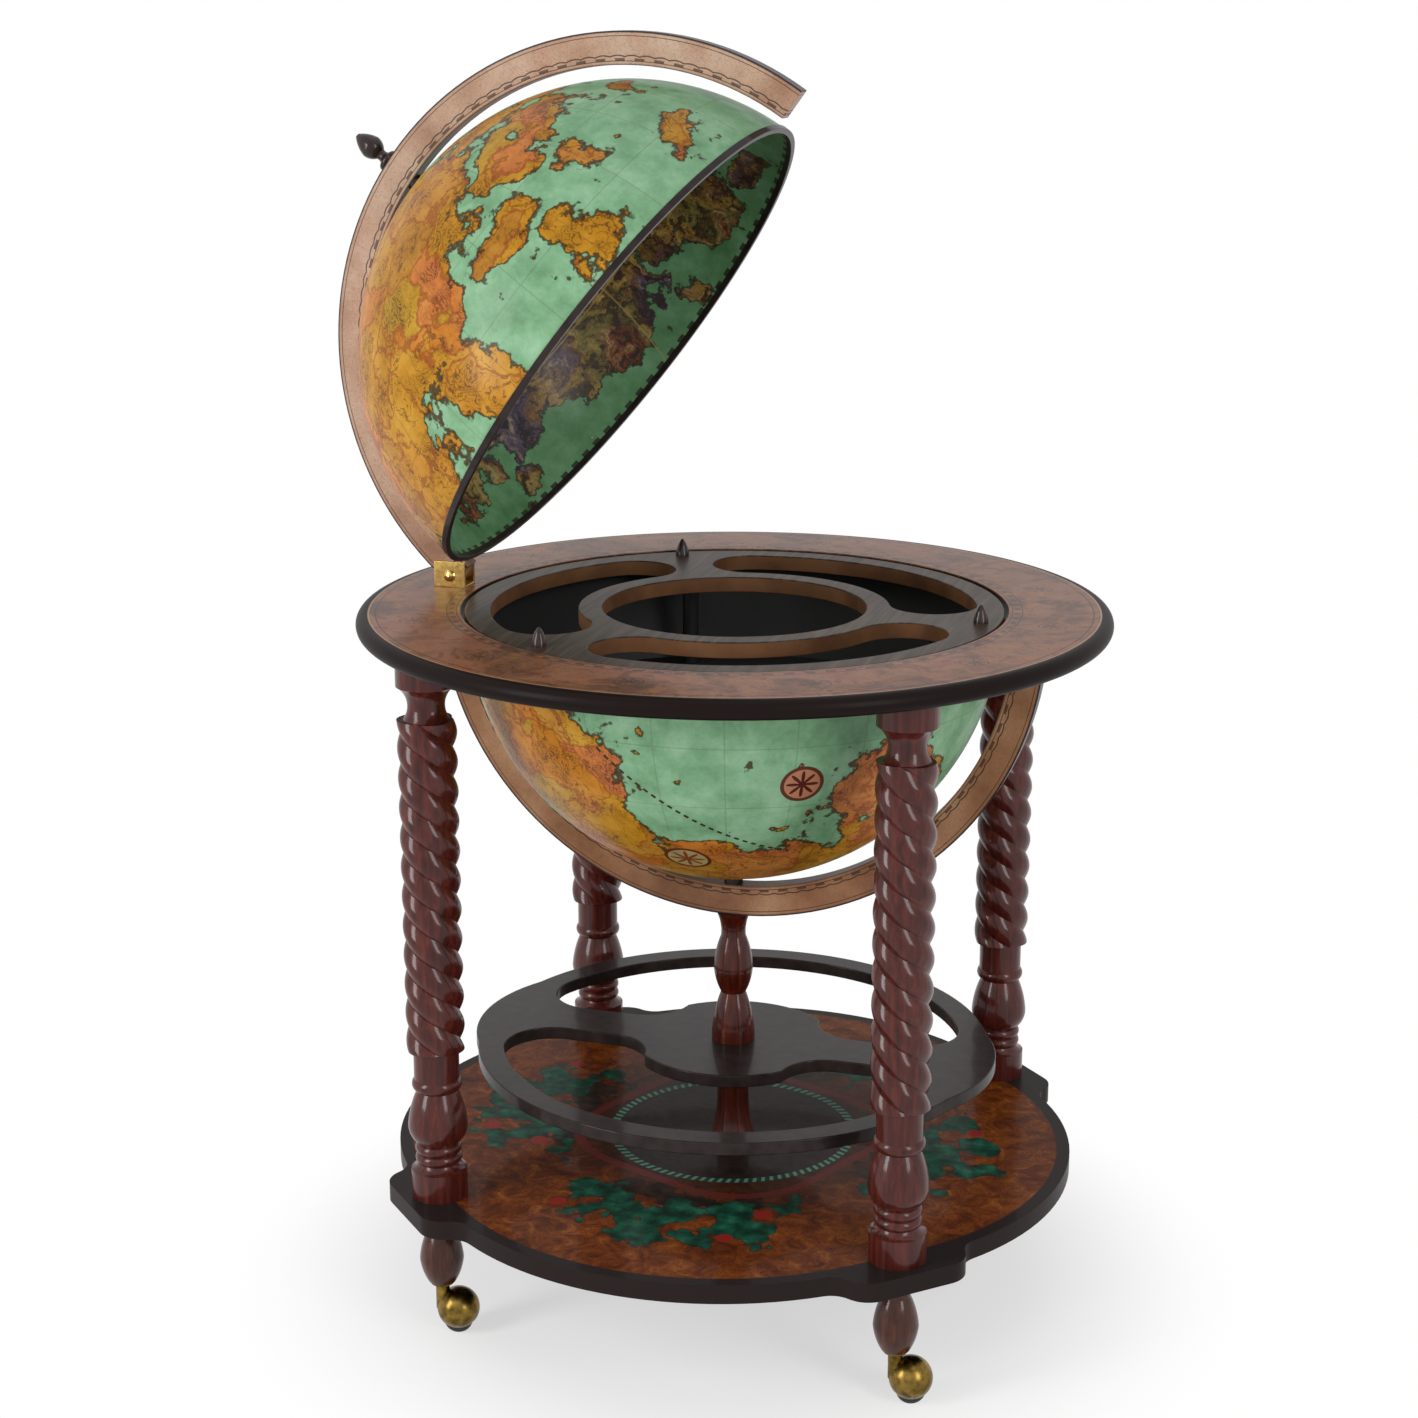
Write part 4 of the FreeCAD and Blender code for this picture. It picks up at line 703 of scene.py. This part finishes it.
def half_globe(node, cut_height, keep_side, place, *materials):
    """Half of a hollow globe, with one finish outside and one inside."""
    mesh = bmesh.new()
    bmesh.ops.create_uvsphere(mesh, u_segments=144, v_segments=96, radius=globe_radius)
    everything = [*mesh.verts, *mesh.edges, *mesh.faces]
    cut = {"plane_co": (0, 0, cut_height), "plane_no": (0, 0, keep_side), "clear_inner": True}
    bmesh.ops.bisect_plane(mesh, geom=everything, dist=1e-6, **cut)
    bmesh.ops.solidify(mesh, geom=mesh.faces[:], thickness=GLOBE_WALL)
    for face in mesh.faces:
        face.material_index = int(face.calc_center_median().length < globe_radius - GLOBE_WALL / 2)
    shade(mesh)
    bmesh.ops.transform(mesh, matrix=place, verts=mesh.verts)
    return stand_for(mesh, node, *materials)


bowl_map = finish("varnished_map_bowl", map_print, globe_centre, 0)
lining = finish("black_lining", black_paper)
half_globe("bowl", bowl_high.z - globe_centre.z, -1, Matrix.Translation(globe_centre), bowl_map, lining)

# Compartments: a grained board with a round well and three curved wells hangs by its lip on the bowl's rim.
# It lifts out by three bullet knobs of dark wood. Its sawn walls are brown, and the floor below is black.
board_low, board_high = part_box("compartment_board")
BOARD_LIP = 0.008
LIP_RADIUS = 0.252
BOARD_THICKNESS = 0.015
ROUND_WELL = 0.124
CURVED_WELL = (0.146, 0.228)
CURVED_WELLS = 3
WELL_SPREAD = radians(41)
ROUND_STEPS, WELL_STEPS, END_STEPS = 144, 40, 24
POST_TOUCH = 0.001
board_top = board_high.z + BOARD_LIP
BOARD_STREAK_MM = 7
BOARD_PORE_MM = 1.6


def grained_board(tree, place):
    """Grey-brown stained board: long grain across it, brown on the walls of its wells."""
    across = add(tree, "Mapping", {"Vector": place, "Rotation": (0, 0, radians(28)), "Scale": (1, 0.06, 1)})
    streak = {"Vector": across, "Scale": 1000 / BOARD_STREAK_MM, "Detail": 6, "Distortion": 0.8}
    streaks = add(tree, "TexNoise", streak)
    colour = add(tree, "ValToRGB", {0: streaks}, stops={0.32: "#2E241D", 0.5: "#44372D", 0.68: "#5A4B3F"})
    pores = add(tree, "TexNoise", {"Vector": across, "Scale": 1000 / BOARD_PORE_MM, "Detail": 2})
    pores = add(tree, "MapRange", {"Value": pores, "From Min": 0.58, "From Max": 0.7, "To Max": 0.45})
    colour = add(tree, "Mix", {0: pores, 6: colour, 7: "#2A2420"})
    axes = add(tree, "SeparateXYZ", {0: place})
    below = add(tree, "Math", {0: axes.outputs["Z"], 1: board_top - TOP_DEPTH}, operation="LESS_THAN")
    stain = add(tree, "TexNoise", {"Vector": place, "Scale": 1000 / PRINT_CLOUD_MM, "Detail": 5})
    wall = add(tree, "ValToRGB", {0: stain}, stops={0.35: "#5A3C28", 0.65: "#7E583C"})
    colour = add(tree, "Mix", {0: below, 6: colour, 7: wall})
    relief = add(tree, "Bump", {"Height": streaks, "Strength": 0.1, "Distance": 0.0004})
    return add(tree, "BsdfPrincipled", {
        "Base Color": colour, "Roughness": 0.45, "Specular IOR Level": 0.05, "Normal": relief,
        "Coat Weight": 0.13, "Coat Roughness": 0.2, "Coat IOR": 1.45})


def arc(middle, radius, start, stop, count):
    """Points along an arc of the board's top, without its last one."""
    angles = [start + (stop - start) * step / count for step in range(count)]
    return [(middle[0] + radius * cos(angle), middle[1] + radius * sin(angle), board_top) for angle in angles]


outlines = [arc((0, 0), radius, 0, 2 * pi, ROUND_STEPS) for radius in (LIP_RADIUS, ROUND_WELL)]
inner, outer = CURVED_WELL
for well in range(CURVED_WELLS):
    facing = pi + 2 * pi * well / CURVED_WELLS
    first, last = facing - WELL_SPREAD, facing + WELL_SPREAD
    ends = [((inner + outer) / 2 * cos(angle), (inner + outer) / 2 * sin(angle)) for angle in (first, last)]
    outline = arc((0, 0), outer, first, last, WELL_STEPS)
    outline += arc(ends[1], (outer - inner) / 2, last, last + pi, END_STEPS)
    outline += arc((0, 0), inner, last, first, WELL_STEPS)
    outline += arc(ends[0], (outer - inner) / 2, first + pi, first + 2 * pi, END_STEPS)
    outlines.append(outline)
mesh = bmesh.new()
for outline in outlines:
    corners = [mesh.verts.new(point) for point in outline]
    for corner, following in zip(corners, corners[1:] + corners[:1]):
        mesh.edges.new((corner, following))
filled = bmesh.ops.triangle_fill(mesh, edges=mesh.edges[:], use_beauty=True, normal=(0, 0, 1))
region = [made for made in filled["geom"] if isinstance(made, bmesh.types.BMFace)]
# Sink the outline to the lip's underside, step in to the bowl's inside, and sink it again
steps = ((BOARD_LIP, LIP_RADIUS), (BOARD_LIP, board_high.x), (BOARD_THICKNESS, board_high.x))
for depth, edge_radius in steps:
    sunk = bmesh.ops.extrude_face_region(mesh, geom=region)["geom"]
    region = [made for made in sunk if isinstance(made, bmesh.types.BMFace)]
    for vertex in {corner for face in region for corner in face.verts}:
        vertex.co.z = board_top - depth
        if vertex.co.xy.length > (outer + board_high.x) / 2:
            vertex.co.xy = vertex.co.xy.normalized() * edge_radius
bmesh.ops.remove_doubles(mesh, verts=mesh.verts, dist=1e-6)
bmesh.ops.recalc_face_normals(mesh, faces=mesh.faces)
shade(mesh)
ease(stand_for(mesh, "compartment_board", finish("grained_board", grained_board)), 1)
# The board lies higher here than its solid, so the knobs rise with it and the posts reach up to it
dark_wood = finish("dark_turned_wood", lacquered_wood, "#170E0C", "#2A1A17", "#40291F")
smoothed("board_knobs", dark_wood).data.transform(Matrix.Translation((0, 0, BOARD_LIP)))
smoothed("compartment_floor", lining)
for vertex in smoothed("compartment_posts", lining).data.vertices:
    if vertex.co.z > board_low.z - POST_TOUCH:
        vertex.co.z = board_top - BOARD_THICKNESS

# Hinge: a polished brass bracket on the ring, with a pin through both cheeks and two screws below.
# The lid's arm turns on the pin, and buffing has left the brass a little uneven.
POLISH_MM = 4


def bright_brass(tree, place):
    """Polished brass with a faint unevenness from buffing."""
    buff = add(tree, "TexNoise", {"Vector": place, "Scale": 1000 / POLISH_MM, "Detail": 3})
    colour = add(tree, "ValToRGB", {0: buff}, stops={0.3: "#C9A24E", 0.7: "#E2C680"})
    polish = add(tree, "MapRange", {"Value": buff, "To Min": 0.14, "To Max": 0.26})
    return add(tree, "BsdfPrincipled", {"Base Color": colour, "Metallic": 1, "Roughness": polish})


polished_brass = finish("polished_brass", bright_brass)
for node in ("hinge_bracket", "hinge_pin", "hinge_screws"):
    smoothed(node, polished_brass, eased=0.4)

# Lid: the upper half of the globe turns on a pin through its own half ring, which swings on the hinge.
# It is printed inside too: clouds in brown, violet and olive on green, with gilt stars and thin circles.
pole_joint = next(joint for joint in frame["joints"] if joint["name"] == "lid_spin")
lid_centre = Vector(pole_joint["pos_m"])
pole = Vector(pole_joint["axis"])
lid_turn = atan2(-pole.x, pole.z)
lid_edge = min((vertex.co - lid_centre).dot(pole) for vertex in frame["nodes"]["lid_shell"].data.vertices)
CLOUDS = (
    (102, 24, 15), (120, 20, 10), (64, 18, 12), (76, 26, 8), (140, 26, 12), (168, 22, 11), (34, 24, 11),
    (4, 20, 11), (-32, 24, 13), (-66, 20, 13), (-104, 26, 13), (-140, 20, 12), (84, 54, 11), (128, 58, 12),
    (42, 56, 10), (-20, 60, 12), (-90, 58, 12), (178, 60, 10), (150, 9, 6), (86, 8, 5), (48, 8, 5),
    (16, 40, 8),
)
SKY_MOTTLE_MM = 41.7
CLOUD_BEND_MM = 55.6
ZONE_MM = 96.2
FOLD_MM = 35.7
STAR_SPACING_MM = 27.8
GILT_STAR = 0.045
SKY_CIRCLES = ((0, 0, 1), (0.36, -0.2, 0.91), (-0.94, 0.2, 0.28))
CIRCLE_HEIGHT = 0.42
CIRCLE_LINE = 0.0028
BORDER_HEIGHT = 0.014
BORDER_MARKS = 90


def sky_print(tree, place, centre, turn):
    """Varnished print inside the lid: outlined clouds in dull colours on green, stars and circles in gilt."""
    globe = globe_place(tree, place, centre, turn)
    mottle = {"Vector": globe, "Scale": on_globe(SKY_MOTTLE_MM), "Detail": 8, "Roughness": 0.68}
    mottle = add(tree, "TexNoise", mottle)
    colour = add(tree, "ValToRGB", {0: mottle}, stops={0.3: "#4A744C", 0.5: "#629266", 0.7: "#7EAA82"})
    ripple = {"Vector": globe, "Scale": on_globe(CLOUD_BEND_MM), "Detail": 5, "Roughness": 0.6}
    point, edge = drawn_patches(tree, ripple, 0.5, CLOUDS, 0.03)
    zones = add(tree, "TexNoise", {"Vector": point, "Scale": on_globe(ZONE_MM), "Detail": 2})
    cloth = add(tree, "ValToRGB", {0: zones}, stops={
        0.36: "#5E5260", 0.44: "#6E4C3A", 0.5: "#A07E3A", 0.56: "#7C7440", 0.64: "#824C2E"})
    folds = {"Vector": point, "Scale": on_globe(FOLD_MM), "Detail": 4, "Distortion": 1.8}
    folds = add(tree, "TexNoise", folds)
    for low, high, depth, paint in ((0.52, 0.4, 0.85, "#20141A"), (0.56, 0.7, 0.6, "#CDB684")):
        fold = add(tree, "MapRange", {"Value": folds, "From Min": low, "From Max": high, "To Max": depth})
        cloth = add(tree, "Mix", {0: fold, 6: cloth, 7: paint})
    stroke = {"Vector": point, "Scale": hatch_scale / 1.6, "Distortion": 11, "Detail": 2}
    strokes = add(tree, "TexWave", stroke).outputs["Fac"]
    strokes = add(tree, "MapRange", {"Value": strokes, "From Min": 0.62, "From Max": 0.92, "To Max": 0.35})
    cloth = add(tree, "Mix", {0: strokes, 6: cloth, 7: "#241814"})
    cloud = add(tree, "MapRange", {"Value": edge, "From Min": 0.004, "From Max": -0.004})
    colour = add(tree, "Mix", {0: cloud, 6: colour, 7: cloth})
    rim = add(tree, "Math", {0: edge, 1: 0, 2: 0.008}, operation="COMPARE")
    colour = inked(tree, colour, "#231A16", rim, 0.75)
    stars = {"Vector": globe, "Scale": on_globe(STAR_SPACING_MM), "Randomness": 0.9}
    stars = add(tree, "TexVoronoi", stars)
    spark = add(tree, "MapRange", {"Value": stars, "From Min": GILT_STAR, "From Max": GILT_STAR * 0.6})
    colour = add(tree, "Mix", {0: spark, 6: colour, 7: "#D8BC6A"})
    for tilt in SKY_CIRCLES:
        axis = Vector(tilt).normalized()
        height = add(tree, "VectorMath", {0: globe, 1: axis}, operation="DOT_PRODUCT")
        line = add(tree, "Math", {0: height, 1: CIRCLE_HEIGHT, 2: CIRCLE_LINE}, operation="COMPARE")
        colour = inked(tree, colour, "#B79A58", line, 0.55)
    # Border by the rim: a row of dark marks
    x, y, z = add(tree, "SeparateXYZ", {0: globe}).outputs
    around = add(tree, "Math", {0: y, 1: x}, operation="ARCTAN2")
    mark = stripes(tree, around, BORDER_MARKS, -0.1)
    low = add(tree, "Math", {0: z, 1: lid_edge / globe_radius + BORDER_HEIGHT}, operation="LESS_THAN")
    mark = add(tree, "Math", {0: mark, 1: low}, operation="MULTIPLY")
    colour = inked(tree, colour, "#2A1E18", mark, 0.85)
    return add(tree, "BsdfPrincipled", {
        "Base Color": colour, "Roughness": 0.45, "Specular IOR Level": 0.1,
        "Coat Weight": 0.22, "Coat Roughness": 0.24, "Coat IOR": 1.45})


lid_map = finish("varnished_map_lid", map_print, lid_centre, lid_turn)
lid_sky = finish("varnished_sky", sky_print, lid_centre, lid_turn)
lid_place = Matrix.Translation(lid_centre) @ Matrix.Rotation(-lid_turn, 4, "Y")
half_globe("lid_shell", lid_edge, 1, lid_place, lid_map, lid_sky)
smoothed("lid_rim", dark_lacquer, eased=0.5)
smoothed("lid_boss", dark_wood)
arm_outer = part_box("upper_meridian")[1].z - lid_centre.z
upper_tan = ("#A27A62", "#BE9A82", "#CEB29C")
upper_print = finish("printed_upper_meridian", meridian_print, lid_centre, lid_turn, arm_outer, *upper_tan)
smoothed("upper_meridian", upper_print, eased=0.8)
smoothed("pole_finial", dark_wood)
smoothed("pole_spacer", dark_wood)
smoothed("pole_pin", drawn_steel)
smoothed("pole_nut", drawn_steel)

# Studio: a pale floor that fades into a white surround, two tall soft boxes in front and one overhead.
# The surround shows plain white, and lights the piece more weakly than it shows.
FLOOR_RADIUS = 6
FLOOR_FADE = (0.26, 0.52)
FLOOR_GLOW = 0.58
SURROUND_LIGHT = 0.35
BOXES = {
    "left_box": ((-2.0, -2.3, 1.5), (0.9, 2.0), 55),
    "right_box": ((2.4, -1.7, 1.6), (0.8, 2.0), 33),
    "top_box": ((0.2, 0.3, 3.2), (2.2, 2.2), 5),
}
AIM = Vector((0, 0, 0.65))


def seen_rays(tree):
    """One for camera, glossy and transmission rays, which show the white, and none for the rest."""
    path = add(tree, "LightPath").outputs
    seen = add(tree, "Math", {0: path["Is Camera Ray"], 1: path["Is Glossy Ray"]}, operation="MAXIMUM")
    return add(tree, "Math", {0: seen, 1: path["Is Transmission Ray"]}, operation="MAXIMUM")


def pale_floor(tree, place):
    """Pale floor that takes the shadow near the piece and turns to plain white further out."""
    away = add(tree, "VectorMath", {0: place}, operation="LENGTH")
    fade = {"Value": away, "From Min": FLOOR_FADE[0], "From Max": FLOOR_FADE[1], "To Min": FLOOR_GLOW}
    fade = add(tree, "MapRange", fade, interpolation_type="SMOOTHSTEP")
    fade = add(tree, "Math", {0: fade, 1: seen_rays(tree)}, operation="MULTIPLY")
    lit = add(tree, "BsdfDiffuse", {"Color": "#FAFAFA"})
    white = add(tree, "Emission", {"Color": "#FFFFFF", "Strength": 1})
    return add(tree, "MixShader", {0: fade, 1: lit, 2: white})


mesh = bmesh.new()
bmesh.ops.create_circle(mesh, cap_ends=True, segments=96, radius=FLOOR_RADIUS)
floor_data = bpy.data.meshes.new("studio_floor")
mesh.to_mesh(floor_data)
mesh.free()
floor_data.materials.append(finish("pale_floor", pale_floor))
floor = bpy.data.objects.new("studio_floor", floor_data)
bpy.context.scene.collection.objects.link(floor)

world = bpy.data.worlds.new("white_surround")
bpy.context.scene.world = world
world.use_nodes = True
surround = world.node_tree
surround.nodes.clear()
level = add(surround, "MapRange", {"Value": seen_rays(surround), "To Min": SURROUND_LIGHT, "To Max": 1})
sky = add(surround, "Background", {"Color": "#FFFFFF", "Strength": level})
add(surround, "OutputWorld", {"Surface": sky})

for name, (spot, (width, height), power) in BOXES.items():
    lamp = bpy.data.lights.new(name, "AREA")
    lamp.shape = "RECTANGLE"
    lamp.size = width
    lamp.size_y = height
    lamp.energy = power
    box = bpy.data.objects.new(name, lamp)
    box.location = spot
    box.rotation_euler = (AIM - Vector(spot)).to_track_quat("-Z", "Y").to_euler()
    bpy.context.scene.collection.objects.link(box)

# Camera: above the ring's height and looking down, a little to the right of the front.
# Its place and lens follow from the outlines of ring, globe and base.
SENSOR_MM = 36
LENS_MM = 67.56
CAMERA_PLACE = (0.7089, -2.3274, 1.2338)
CAMERA_DOWN = radians(15.2)
CAMERA_ROUND = radians(17.5)
lens = bpy.data.cameras.new("camera")
lens.sensor_width = SENSOR_MM
lens.lens = LENS_MM
camera = bpy.data.objects.new("camera", lens)
camera.location = CAMERA_PLACE
camera.rotation_euler = (pi / 2 - CAMERA_DOWN, 0, CAMERA_ROUND)
bpy.context.scene.collection.objects.link(camera)
bpy.context.scene.camera = camera
bpy.context.scene.view_settings.view_transform = "Standard"
